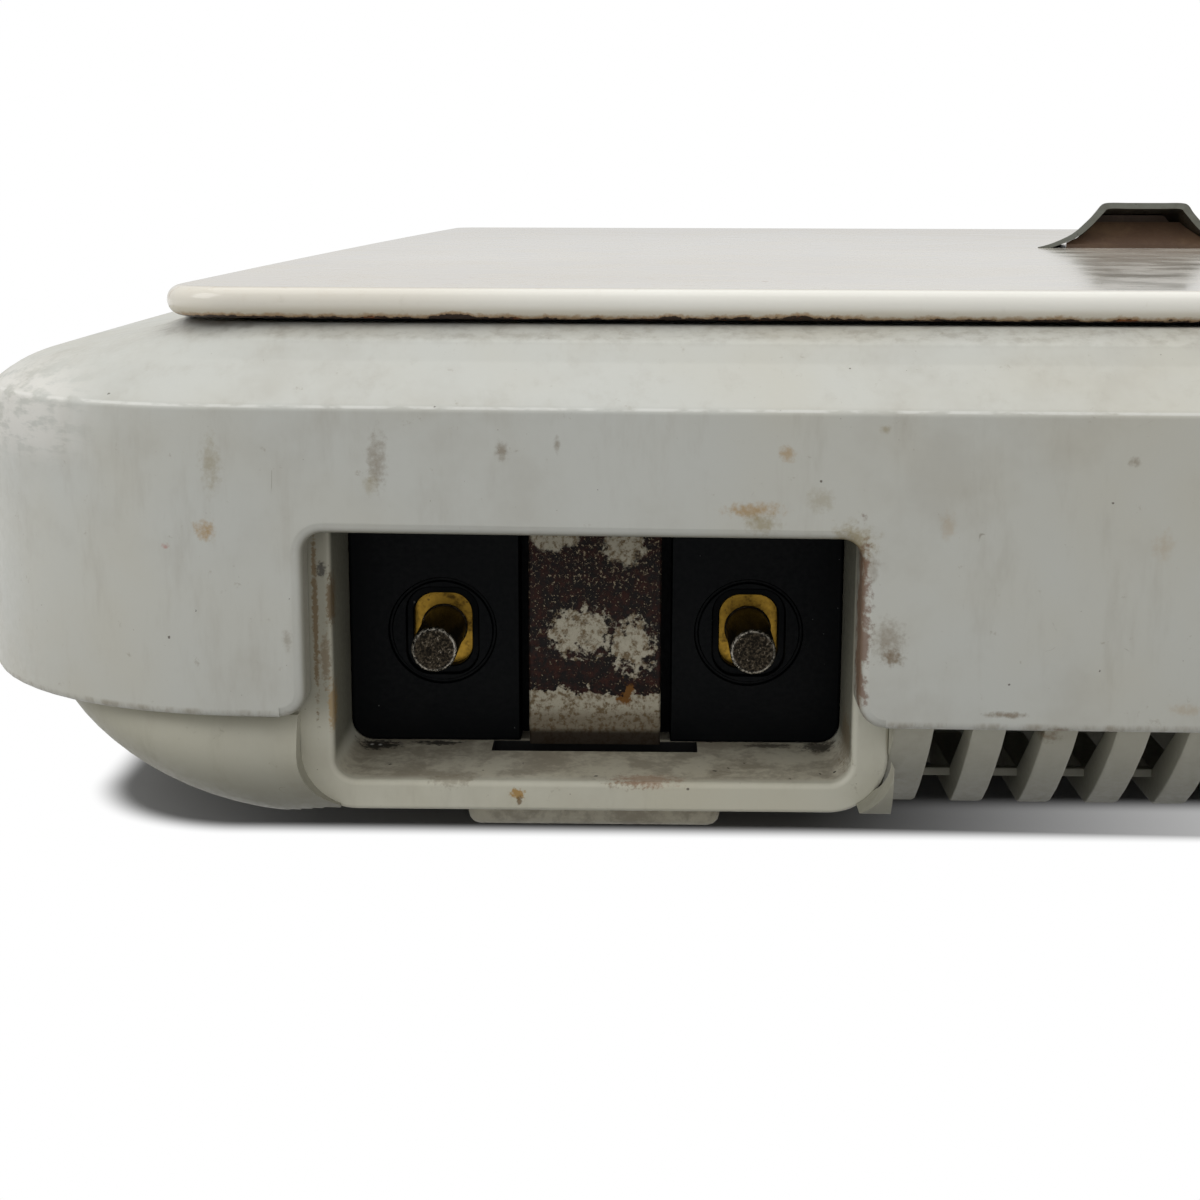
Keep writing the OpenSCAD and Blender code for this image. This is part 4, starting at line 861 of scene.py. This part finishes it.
class Finish(Tree):
    """A material being made. Its place is in millimetres, in the frame of the whole griddle."""

    def __init__(self, name, **shader):
        self.material = bpy.data.materials.new(name)
        self.material.use_nodes = True
        super().__init__(self.material.node_tree)
        self.shader = self.tree.nodes["Principled BSDF"]
        coords = self.node("ShaderNodeTexCoord")
        self.place = self.vector("SCALE", coords.outputs["Object"], scale=1000.0)
        self.split = self.node("ShaderNodeSeparateXYZ")
        self.feed(self.split.inputs[0], self.place)
        self.set(**shader)

    def set(self, **values):
        for name, value in values.items():
            self.feed(self.shader.inputs[name.replace("_", " ")], value)

    def xyz(self, axis):
        return self.split.outputs[axis]

    def band(self, axis, low, high, soft):
        """1 between two places along an axis."""
        value = self.xyz(axis)
        rise = self.ramp(value, low - soft, low + soft)
        return self.all_of(rise, self.ramp(value, high - soft, high + soft, 1.0, 0.0))

    def near(self, x, y, z, reach, ragged=0.5, grain=1.2, soft=0.3):
        """A ragged spot at a place of the housings."""
        reach = reach if isinstance(reach, tuple) else (reach, reach, reach)
        return self.group(SPOT, Where=self.place, Centre=(x, y + HOUSING_Y, z), Reach=reach,
                          Ragged=ragged, Grain=grain, Soft=soft)

    def mottle(self, size, spread, soft):
        return self.group(MOTTLE, Where=self.place, Size=size, Spread=spread, Soft=soft)

    def specks(self, pitch, size, share):
        return self.group(SPECKS, Where=self.place, Pitch=pitch, Size=size, Share=share)

    def scaled(self, mask, amount):
        return self.math("MULTIPLY", mask, amount)

    def all_of(self, first, *others):
        """The product of masks, 1 only where each of them is."""
        for other in others:
            first = self.math("MULTIPLY", first, other)
        return first

    def tint(self, colour, mask, amount=1.0):
        """Take the base colour towards another where the mask is high."""
        self.colour = self.mix(self.colour, colour, self.math("MULTIPLY", mask, amount))

    def stain(self, x, y, z, reach, colour, amount, ragged=0.6, grain=0.6, soft=1.0):
        wider = tuple(1.35 * r for r in reach)
        self.tint(colour, self.near(x, y, z, wider, ragged, grain, soft), amount)

    def surface(self, grain, smoothest, roughest, spread=0.2):
        """Set the base colour, and a roughness that follows a noise."""
        rough = self.ramp(grain, 0.5 - spread, 0.5 + spread, smoothest, roughest)
        self.set(Base_Color=self.colour, Roughness=rough)

    def bump(self, height, strength, distance=0.0001):
        made = self.node("ShaderNodeBump")
        self.feed(made.inputs["Strength"], strength)
        self.feed(made.inputs["Distance"], distance)
        self.feed(made.inputs["Height"], height)
        self.feed(self.shader.inputs["Normal"], made.outputs[0])


def aged_plastic(name, clean, warm, dirt):
    """Old pale plastic: faint yellowing, soft brown marks, specks and hair scratches."""
    f = Finish(name, Specular_IOR_Level=0.4)
    f.colour = f.mix(clean, warm, f.ramp(f.noise(f.place, 0.016, 4.0, 0.6), 0.38, 0.66))
    streak = f.noise(f.stretch(f.place, 0.5, 0.5, 0.12), 0.6, 4.0, 0.7)
    f.tint(dirt, f.ramp(streak, 0.5, 0.8), 0.16)
    f.tint(dirt, f.mottle(26.0, 0.42, 0.1), 0.16)
    f.tint(dirt, f.mottle(1.6, 0.33, 0.05), 0.34)
    f.tint(tone(70, 58, 46), f.specks(3.0, 0.055, 0.3), 0.8)
    f.tint(tone(110, 98, 80), f.specks(1.1, 0.06, 0.14), 0.6)
    f.hair = f.group(HAIRLINES, Where=f.place, Pitch=11.0, Width=0.0022, Share=0.36)
    f.tint(tone(120, 108, 90), f.hair, 0.55)
    return f


def finish_plastic(f, low, high, shade, rough=0.42):
    """Darken the plastic below two heights with painted shade, and set its surface."""
    # Painted shade: darker towards the bottom
    f.tint(tone(74, 72, 60), f.ramp(f.xyz(2), low, high, shade, 0.0))
    fine = f.noise(f.place, 1.6, 3.0, 0.6)
    f.surface(fine, rough - 0.06, rough + 0.1)
    f.bump(f.math("SUBTRACT", fine, f.scaled(f.hair, 0.6)), 0.1)
    return f.material


TAN = tone(146, 130, 88)
BROWN = tone(108, 84, 48)
ORANGE = tone(166, 128, 62)
SOOT = tone(38, 32, 27)

# Marks on the housing's end face as [x, height, half width, half height, colour, amount]
HOUSING_MARKS = [
    (-139.3, 36.2, 0.9, 0.22, BROWN, 0.7), (-138.4, 36.5, 0.7, 0.2, BROWN, 0.6),
    (-126.3, 41.3, 1.0, 2.6, TAN, 0.5), (-110.3, 42.0, 0.9, 2.6, BROWN, 0.5),
    (-110.9, 39.6, 0.7, 1.0, TAN, 0.4), (-127.1, 35.0, 1.1, 1.0, ORANGE, 0.75),
    (-131.1, 33.3, 0.4, 0.3, tone(168, 70, 52), 0.8), (-98.4, 43.0, 0.6, 0.9, BROWN, 0.55),
    (-93.2, 43.7, 0.3, 0.7, BROWN, 0.5), (-71.6, 43.0, 0.7, 0.8, ORANGE, 0.6),
    (-74.6, 37.6, 2.6, 0.7, ORANGE, 0.7), (-73.9, 36.4, 1.5, 1.0, TAN, 0.6),
    (-68.4, 38.6, 1.2, 1.0, TAN, 0.35), (-65.2, 34.6, 2.0, 1.7, TAN, 0.75),
    (-63.8, 32.2, 1.0, 1.7, BROWN, 0.4), (-61.8, 25.2, 1.5, 1.9, BROWN, 0.5),
    (-61.2, 23.6, 1.0, 0.8, BROWN, 0.7), (-56.5, 36.3, 0.7, 1.3, ORANGE, 0.25),
    (-50.4, 18.1, 1.9, 0.3, BROWN, 0.7), (-45.2, 16.6, 1.2, 0.4, BROWN, 0.8),
    (-36.4, 34.6, 1.0, 1.4, ORANGE, 0.25), (-33.4, 18.8, 1.6, 0.6, ORANGE, 0.3),
    (-39.6, 42.5, 0.5, 0.4, BROWN, 0.5), (-62.6, 45.3, 0.5, 0.4, TAN, 0.5),
    (-119.4, 24.4, 0.5, 1.1, BROWN, 0.4)]

# Marks on the inlet frame as [x, depth behind its face, height, reach, colour, amount]
FRAME_MARKS = [
    (-117.2, 0, 26, (0.25, 2, 8), BROWN, 0.8), (-116.5, 0, 30.6, (0.4, 2, 0.7), SOOT, 0.8),
    (-116.3, 0, 21.6, (0.4, 2, 2.4), BROWN, 0.6), (-115.7, 0.8, 27.4, (0.4, 2, 2.4), BROWN, 0.8),
    (-115.8, 0.8, 16.6, (0.35, 2, 2.2), ORANGE, 0.6), (-86.2, -1.8, 9.2, (2.6, 2.2, 0.7), BROWN, 0.5),
    (-97.4, 0, 7.9, (0.6, 2, 0.5), ORANGE, 0.9), (-97.2, 0, 7.3, (0.3, 2, 0.4), BROWN, 0.8),
    (-84.5, 1.0, 9.3, (3.0, 1.2, 0.8), tone(150, 104, 74), 0.5),
    (-104.0, 0.8, 9.3, (2.0, 1.0, 0.8), BROWN, 0.35), (-112.6, 11.0, 9.9, (2.0, 1.3, 1), SOOT, 0.95),
    (-106.5, 11.8, 9.9, (2.2, 0.6, 1), SOOT, 0.9), (-66.4, 11.2, 9.9, (1.6, 1.4, 1), SOOT, 0.8),
    (-71.6, 11.6, 9.9, (2.2, 0.6, 1), SOOT, 0.7), (-64.2, 6.0, 12.0, (0.6, 4, 3.0), BROWN, 0.5)]


def make_housing_finish():
    f = aged_plastic("aged_housing_plastic_painted_light", tone(202, 203, 196), tone(199, 196, 182), tone(134, 120, 96))
    grime_and_shade_noise = f.ramp(f.noise(f.stretch(f.place, 1, 1, 0.3), 0.5, 4.0, 0.7), 0.42, 0.7)
    # Dirt collects under the lid's edge, where painted shade is added too, and along the housing's lower edge
    f.tint(tone(116, 106, 90), f.band(2, 52.7, 54.4, 0.6), f.math("ADD", f.scaled(grime_and_shade_noise, 0.3), 0.1))
    f.tint(tone(128, 112, 86), f.band(2, 16.0, 17.2, 0.25), f.scaled(grime_and_shade_noise, 0.55))
    # Painted highlights in broken lengths: along the crisp edge above the end face, and on the near left
    # corner
    broken = f.ramp(f.noise(f.stretch(f.place, 0.3, 0.3, 1), 1.0, 3.0, 0.6), 0.36, 0.56)
    f.tint(tone(236, 236, 230), f.all_of(f.band(2, 46.8, 47.05, 0.08), broken), 0.6)
    left = f.ramp(f.xyz(0), -146.0, -136.0, 1.0, 0.0)
    near = f.ramp(f.xyz(1), -150.0, -130.0, 1.0, 0.0)
    f.tint(tone(236, 233, 226), f.all_of(f.band(2, 41.5, 49.5, 2.2), left, near, broken), 0.6)
    # Painted shade where the rounded lip of the plug opening turns into the opening
    bowed = f.scaled(f.math("POWER", f.math("ABSOLUTE", f.xyz(0)), 2.0), BOW_RATE)
    depth = f.math("SUBTRACT", f.math("SUBTRACT", f.xyz(1), FRONT_Y + HOUSING_Y), bowed)
    opening = f.all_of(f.band(0, -119.5, -62.5, 0.3), f.band(2, 17.0, 36.2, 0.2))
    inlet_end = f.ramp(f.xyz(1), -130.0, -110.0, 1.0, 0.0)
    f.tint(tone(140, 136, 118), f.all_of(f.ramp(depth, 0.02, 0.5), opening, inlet_end), 0.6)
    for x, z, wide, high, colour, amount in HOUSING_MARKS:
        f.stain(x, FRONT_Y + 1.6, z, (wide, 4.5, high), colour, amount)
    # Rust has run down the right side of the plug opening
    f.stain(-64.4, FRONT_Y + 2.6, 25.5, (0.9, 2.2, 8.5), tone(104, 66, 40), 0.75, 0.8, 1.2, 0.5)
    return finish_plastic(f, 14, 30, 0.06)


def make_hull_finish():
    f = aged_plastic("aged_hull_plastic_painted_shade", tone(192, 190, 174), tone(186, 181, 160), tone(118, 104, 78))
    f.stain(-45.6, FRONT_Y + 4, 15.2, (1.3, 4, 0.8), BROWN, 0.7)
    # Painted shade: the hull and its ribs are darkened strongly towards the bottom
    return finish_plastic(f, 3.5, 17, 0.7, 0.5)


def make_frame_finish():
    """The inlet frame: dirt on the recess floor, painted shade on the side walls, in the floor slot and on
    the face left of the recess, drips on its face.
    """
    f = aged_plastic("aged_frame_plastic_painted_shade", tone(206, 204, 188), tone(200, 195, 174), tone(118, 104, 78))
    face_y = BEZEL_Y + HOUSING_Y
    inside = f.ramp(f.xyz(1), face_y + 0.5, face_y + 2.0)
    floor = f.all_of(inside, f.ramp(f.xyz(2), 10.0, 10.8, 1.0, 0.0))
    f.tint(tone(196, 184, 158), floor, 0.3)
    f.tint(tone(96, 78, 58), f.all_of(floor, f.mottle(4.0, 0.5, 0.09)), 0.45)
    f.tint(SOOT, f.all_of(floor, f.specks(1.5, 0.16, 0.3)), 0.9)
    # Painted shade on the recess's side walls above its floor
    f.tint(tone(98, 97, 84), f.all_of(inside, f.ramp(f.xyz(2), 10.4, 12.4)), 0.8)
    # Painted shadow of the opening's left edge, on the frame's face left of the recess
    painted_shadow_left_strip = f.ramp(f.xyz(0), RECESS_LEFT - 0.4, RECESS_LEFT, 1.0, 0.0)
    f.tint(tone(118, 114, 98), f.all_of(painted_shadow_left_strip, f.ramp(f.xyz(2), 14.0, 18.0)), 0.6)
    for x, y, z, reach, colour, amount in FRAME_MARKS:
        f.stain(x, BEZEL_Y + y, z, reach, colour, amount, 0.8, 0.5, 0.6)
    for x, y in ((-113.4, 11.1), (-112.5, 11.0)):
        f.stain(x, BEZEL_Y + y, 9.9, (0.22, 0.3, 0.5), tone(235, 235, 230), 1.0, 0.2)
    # Painted shade: the slot in front of the block is painted dark all the way down
    slot_y = BLOCK_Y + HOUSING_Y - SLOT_LONG
    across = f.band(0, INLET_X - SLOT_HALF - 0.1, INLET_X + SLOT_HALF + 0.1, 0.02)
    slot_shade_depths = f.all_of(f.ramp(f.xyz(2), 9.6, 9.75, 1.0, 0.0), f.ramp(f.xyz(2), 7.0, 7.1))
    f.tint(tone(12, 11, 10), f.all_of(across, f.ramp(f.xyz(1), slot_y - 0.05, slot_y), slot_shade_depths))
    return finish_plastic(f, 3, 5, 0.0, 0.5)


def make_enamel():
    f = Finish("lid_enamel", Specular_IOR_Level=0.5)
    cloud = f.ramp(f.noise(f.place, 0.012, 3.0, 0.5), 0.35, 0.7)
    f.colour = f.mix(tone(243, 241, 232), tone(228, 222, 208), cloud)
    # Painted light: the flat top is painted darker than the rolled edge, for the grey the top reflects and
    # the highlight along the crest
    f.tint(tone(196, 186, 168), f.ramp(f.xyz(2), 57.5, 57.58), 0.5)
    f.tint(tone(176, 166, 146), f.mottle(3.0, 0.34, 0.08), 0.2)
    f.tint(tone(70, 56, 44), f.specks(9.0, 0.05, 0.3), 0.9)
    # Baked-on spatter along the front edge
    front = f.all_of(f.band(1, -154.5, -128.0, 3.0), f.band(0, -134.0, -56.0, 12.0))
    f.tint(tone(186, 158, 120), f.all_of(front, f.mottle(1.5, 0.4, 0.04)), 0.6)
    baked = f.group(SPECKS, Where=f.stretch(f.place, 1.0, 0.45, 1.0), Pitch=2.6, Size=0.16, Share=0.22)
    f.tint(tone(150, 118, 82), f.all_of(front, baked), 0.7)
    # Rust creeps up from the rolled edge's lower lip, orange in a few lengths
    creep = f.math("SUBTRACT", f.xyz(2), f.scaled(f.noise(f.place, 0.5, 5.0, 0.7), 1.3))
    # The rolled edge is darker on its lower half
    f.tint(tone(190, 176, 150), f.ramp(f.xyz(2), 54.9, 56.2, 1.0, 0.0), 0.45)
    orange = f.ramp(f.noise(f.stretch(f.place, 1, 1, 0.3), 0.3, 4.0, 0.7), 0.54, 0.66)
    rust = f.mix(tone(52, 32, 20), tone(140, 82, 40), orange)
    for x, reach in ((-103.6, 3.0), (-82.2, 2.4), (-70.4, 6.0), (-44.0, 1.6)):
        rise = f.near(x, -163.5, 54.9, (reach, 6, 1.6), 0.7, 1.2, 0.8)
        creep = f.math("SUBTRACT", creep, f.scaled(rise, 0.25))
    f.tint(tone(176, 140, 96), f.ramp(creep, 54.5, 54.15, 0.0, 0.8))
    f.tint(rust, f.ramp(creep, 54.15, 54.0, 0.0, 1.0))
    f.surface(f.noise(f.place, 0.09, 4.0, 0.6), 0.07, 0.15)
    f.bump(f.noise(f.place, 0.05, 2.0, 0.5), 0.008, 0.0004)
    return f.material


def make_metal(name, clean, dull, rough, dull_share=0.4, speck_share=0.2, grain=(1, 1, 1), spread=4.0):
    f = Finish(name, Metallic=1.0)
    brush = f.noise(f.stretch(f.place, *grain), 3.0, 3.0, 0.6)
    f.colour = f.mix(clean, dull, f.scaled(f.mottle(spread, 0.45, 0.1), dull_share))
    f.tint(tone(52, 42, 32), f.specks(0.8, 0.14, speck_share), 0.7)
    f.surface(brush, rough - 0.08, rough + 0.12, 0.25)
    f.bump(brush, 0.1, 0.00005)
    return f.material


def make_dark(name, clean, dust, rough, dust_share=0.3, shine=0.5):
    """Black mouldings and coatings with dust in their surface."""
    f = Finish(name, Specular_IOR_Level=shine)
    f.colour = f.mix(clean, dust, f.scaled(f.mottle(8.0, 0.45, 0.14), dust_share))
    f.tint(tone(120, 122, 120), f.specks(1.3, 0.1, 0.14), 0.5)
    fine = f.noise(f.place, 2.0, 3.0, 0.6)
    f.surface(fine, rough - 0.06, rough + 0.1)
    f.bump(fine, 0.12)
    return f.material


def make_plain(name, clean, worn, rough):
    """A light material with soft wear and a fine surface."""
    f = Finish(name)
    f.colour = f.mix(clean, worn, f.scaled(f.mottle(6.0, 0.45, 0.12), 0.6))
    f.tint(tone(70, 60, 48), f.specks(1.6, 0.1, 0.2), 0.5)
    fine = f.noise(f.place, 2.0, 3.0, 0.6)
    f.surface(fine, rough - 0.06, rough + 0.1)
    f.bump(fine, 0.1)
    return f.material


def make_keeper_finish():
    """Plating torn off an iron strip, dark rust under it and pale patches left."""
    f = Finish("torn_plating", Specular_IOR_Level=0.2)
    rust_noise = f.noise(f.place, 0.9, 5.0, 0.75)
    grain = f.noise(f.place, 3.2, 4.0, 0.75)
    flecks = f.math("ADD", grain, f.scaled(f.ramp(f.xyz(2), 22.0, 30.0), 0.05))
    rust = f.mix(tone(15, 9, 8), tone(56, 27, 19), f.ramp(rust_noise, 0.42, 0.68))
    f.colour = f.mix(rust, tone(172, 158, 132), f.ramp(flecks, 0.62, 0.66))
    # Where plating is left: at the foot, in the middle and in two tears near the top
    foot_edge = f.scaled(f.math("SUBTRACT", f.noise(f.place, 0.55, 4.0, 0.65), 0.5), 5.0)
    plate = f.ramp(f.math("ADD", f.xyz(2), foot_edge), 15.9, 16.1, 1.0, 0.0)
    for x, z, wide, high, ragged, grain_size in (
            (-1.4, 22.3, 3.7, 2.5, 0.95, 0.8), (3.8, 21.0, 2.2, 3.2, 0.95, 0.8),
            (-4.4, 32.2, 2.8, 1.5, 0.45, 1.6), (3.0, 31.4, 2.4, 2.2, 0.6, 1.0)):
        left = f.near(INLET_X + x, STRIP_Y, z, (wide, 6, high), ragged, grain_size)
        plate = f.math("MAXIMUM", plate, left)
    pale = f.mix(tone(186, 180, 162), tone(120, 104, 80), f.ramp(f.noise(f.place, 1.7, 4.0, 0.7), 0.44, 0.64))
    pale = f.mix(pale, tone(120, 82, 40), f.near(INLET_X + 3.0, STRIP_Y, 16.2, (1.2, 6, 1.6), 0.7, 1.0))
    # The pale plating is darker towards the foot
    pale = f.mix(pale, tone(96, 80, 58), f.scaled(f.ramp(f.xyz(2), 14.6, 12.6), 0.6))
    f.tint(pale, plate)
    # The whole strip is darker at its foot
    f.tint(tone(40, 30, 22), f.ramp(f.xyz(2), 11.2, 12.0, 1.0, 0.0), 0.9)
    f.surface(grain, 0.5, 0.75)
    f.set(Metallic=f.scaled(plate, 0.35))
    height = f.math("ADD", f.scaled(grain, 0.4), f.scaled(plate, 0.8))
    f.bump(f.math("ADD", f.scaled(rust_noise, 0.6), height), 0.5, 0.00025)
    return f.material


def make_pin_finish():
    """Nickel painted dark for the dark surroundings it reflects, a painted highlight round the rim at the
    tip, and pale specks on its face.
    """
    f = Finish("worn_nickel_painted_light", Metallic=1.0)
    grain = f.noise(f.place, 3.4, 5.0, 0.8)
    blotch = f.noise(f.place, 0.8, 3.0, 0.6)
    # Painted reflection: the nickel's dark colour
    f.colour = f.mix(tone(22, 20, 17), tone(74, 66, 54), f.ramp(grain, 0.45, 0.62))
    f.tint(tone(196, 190, 178), f.ramp(grain, 0.6, 0.68), f.ramp(blotch, 0.4, 0.6))
    # Painted highlight round the rounded rim of the tip
    tip = PIN_TIP_Y + HOUSING_Y
    f.tint(tone(190, 184, 172), f.band(1, tip + 0.03, tip + 0.3, 0.03), f.ramp(grain, 0.42, 0.58))
    f.surface(grain, 0.28, 0.6)
    f.bump(grain, 0.4)
    return f.material


def make_clear(name, light, deep, through, smoothest, roughest, haze_scale, detail, rough):
    """Tinted glass or clear plastic with a faint haze."""
    f = Finish(name, Transmission_Weight=through, IOR=1.5)
    haze = f.noise(f.place, haze_scale, detail, rough)
    f.colour = f.mix(light, deep, haze)
    f.surface(haze, smoothest, roughest)
    return f.material


# --- Assembly -------------------------------------------------------------------------------

# What each material slot of the record is made of
FINISHES = {
    "housing": make_housing_finish(),
    "hull": make_hull_finish(),
    "enamel": make_enamel(),
    "steel": make_metal("zinc_steel", tone(190, 190, 186), tone(128, 118, 104), 0.38),
    "pull_metal": make_metal("pull_aluminium", tone(126, 128, 121), tone(96, 92, 82), 0.34,
                             grain=(1, 0.2, 1)),
    "pull_dark": make_dark("pull_insert", tone(92, 70, 54), tone(122, 98, 74), 0.5, 0.6),
    "plate_coating": make_dark("non_stick_coating", tone(62, 62, 64), tone(96, 90, 80), 0.42, 0.25),
    "heater_sheath": make_metal("heater_sheath", tone(112, 114, 116), tone(76, 66, 60), 0.45),
    "ceramic": make_plain("ceramic", tone(222, 216, 202), tone(196, 184, 160), 0.4),
    "bright_aluminium": make_metal("bright_aluminium", tone(206, 207, 206), tone(150, 140, 124), 0.28, 0.5),
    # Partly painted shade: the black moulding is coloured near pure black, with a faint shine, for the deep
    # shade in the recess
    "block_black": make_dark("moulded_black", tone(6, 8, 10), tone(20, 20, 20), 0.4, 0.35, shine=0.06),
    "brass": make_metal("tarnished_brass", tone(150, 118, 46), tone(58, 42, 20), 0.36, 0.85, 0.45,
                        spread=1.8),
    "nickel": make_pin_finish(),
    "keeper_iron": make_keeper_finish(),
    "control_black": make_dark("control_black", tone(38, 38, 40), tone(70, 68, 64), 0.36, 0.2),
    "mark_white": make_plain("mark_white", tone(226, 226, 220), tone(196, 192, 180), 0.5),
    "lens_red": make_clear("red_lens", tone(214, 44, 30), tone(170, 24, 18), 0.75, 0.1, 0.25, 0.8, 3.0, 0.6),
    "neon_glass": make_clear("neon_glass", tone(250, 214, 184), tone(236, 170, 120), 0.8, 0.05, 0.16,
                             0.7, 2.0, 0.5),
    "foot_rubber": make_dark("foot_rubber", tone(44, 43, 42), tone(96, 90, 80), 0.7, 0.5),
    "lead_red": make_plain("lead_red", tone(124, 44, 34), tone(92, 34, 28), 0.45),
    "lead_white": make_plain("lead_white", tone(206, 204, 194), tone(182, 174, 156), 0.45)}
FRAME_FINISH = make_frame_finish()

for piece in make_upper_housing():
    dress(piece, "housing", "upper_housing")
dress(make_hull(), "hull", "lower_housing")
for piece in make_inlet_frame():
    dress(piece, "hull", "lower_housing", finish=FRAME_FINISH)
for piece in make_vents(FINISHES["hull"]):
    dress(piece, "hull", "lower_housing")
dress(make_block(), "block_black", "inlet_block")
dress(make_pin("left_pin", -1), "nickel", "pin_left")
dress(make_pin("right_pin", 1), "nickel", "pin_right")
dress(make_strip(), "keeper_iron", "keeper_strip")
dress(make_dial(), "bright_aluminium", "dial_plate")
dress(make_lens(), "lens_red", "lamp_lens")
dress(make_feet(), "foot_rubber", "rubber_feet")
spring = dress(make_spring(), "steel", "sensor_spring")
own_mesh(spring)
dress(make_lid(), "enamel", "lid", body="lid")
dress(make_pull(), "pull_metal", "lid_pull", body="lid")
knob, pointer = make_knob()
dress(knob, "control_black", "control_knob", body="knob")
dress(pointer, "mark_white", "knob_pointer", body="knob")

for part in frame["record"]["subparts"]:
    solid = frame["nodes"][part["node"]]
    solid.data.materials.clear()
    solid.data.materials.append(FINISHES[part["material_slot"]])


# --- Room, light and camera -----------------------------------------------------------------

def make_floor():
    reach = 3000
    corners = [(-reach, -reach, 0), (reach, -reach, 0), (reach, reach, 0), (-reach, reach, 0)]
    floor = new_object("floor", corners, [(0, 1, 2, 3)])
    f = Finish("white_floor", Base_Color=(0.34, 0.34, 0.34, 1), Roughness=0.8, Specular_IOR_Level=0.1)
    glow = f.node("ShaderNodeEmission")
    path = f.node("ShaderNodeLightPath")
    seen = f.math("MAXIMUM", path.outputs["Is Camera Ray"], path.outputs["Is Glossy Ray"])
    over = f.vector("MAXIMUM", f.vector("SUBTRACT", f.vector("ABSOLUTE", f.place), (128, 132, 0)), (0, 0, 0))
    beyond = f.vector("LENGTH", f.stretch(over, 1, 1, 0))
    # Painted light: to the right, near the body, the floor partly glows for the camera as a pool of light in
    # its shadow
    painted_light_pool = f.all_of(f.ramp(f.xyz(0), -70.0, 0.0, 0.0, 0.55), f.ramp(beyond, 4.0, 10.0))
    away = f.math("MULTIPLY", f.math("MAXIMUM", painted_light_pool, f.ramp(beyond, 15.5, 20.5)), seen)
    blend = f.node("ShaderNodeMixShader")
    f.feed(blend.inputs[0], away)
    f.feed(blend.inputs[1], f.shader.outputs[0])
    f.feed(blend.inputs[2], glow.outputs[0])
    f.feed(f.tree.nodes["Material Output"].inputs["Surface"], blend.outputs[0])
    floor.data.materials.append(f.material)


def make_world(level):
    world = bpy.data.worlds.new("soft_room")
    world.use_nodes = True
    bpy.context.scene.world = world
    t = Tree(world.node_tree)
    back = world.node_tree.nodes["Background"]
    path = t.node("ShaderNodeLightPath")
    back.inputs["Color"].default_value = (1, 1, 1, 1)
    t.feed(back.inputs["Strength"], t.ramp(path.outputs["Is Camera Ray"], 0.0, 1.0, level, 1.0))


def softbox(name, place, aim, width, height, power):
    light = bpy.data.lights.new(name, "AREA")
    light.shape = "RECTANGLE"
    light.size = width
    light.size_y = height
    light.energy = power
    lamp = bpy.data.objects.new(name, light)
    bpy.context.scene.collection.objects.link(lamp)
    way = Vector(aim) - Vector(place)
    lamp.matrix_world = Matrix.Translation(place) @ way.to_track_quat("-Z", "Y").to_matrix().to_4x4()


def make_camera():
    yaw, pitch, roll = 0.020458, 0.2020197, 0.003
    place = (-0.0853, -0.354147, 0.067009)
    forward = Vector((-math.sin(yaw) * math.cos(pitch), math.cos(yaw) * math.cos(pitch), -math.sin(pitch)))
    right = Vector((math.cos(yaw), math.sin(yaw), 0))
    up = right.cross(forward)
    side = right * math.cos(roll) + up * math.sin(roll)
    top = up * math.cos(roll) - right * math.sin(roll)
    data = bpy.data.cameras.new("camera")
    data.lens = 60
    data.sensor_width = 36
    data.clip_start = 0.01
    camera = bpy.data.objects.new("camera", data)
    bpy.context.scene.collection.objects.link(camera)
    turned_frame = Matrix((side, top, -forward)).transposed().to_4x4()
    camera.matrix_world = Matrix.Translation(place) @ turned_frame
    bpy.context.scene.camera = camera


make_floor()
make_world(0.66)
softbox("top_light", (-0.05, 0.1, 1.3), (-0.05, -0.05, 0), 1.4, 1.4, 5.5)
softbox("left_light", (-1.0, -0.55, 0.85), (-0.08, -0.15, 0.04), 0.7, 0.7, 4)
make_camera()
bpy.context.scene.view_settings.view_transform = "Standard"
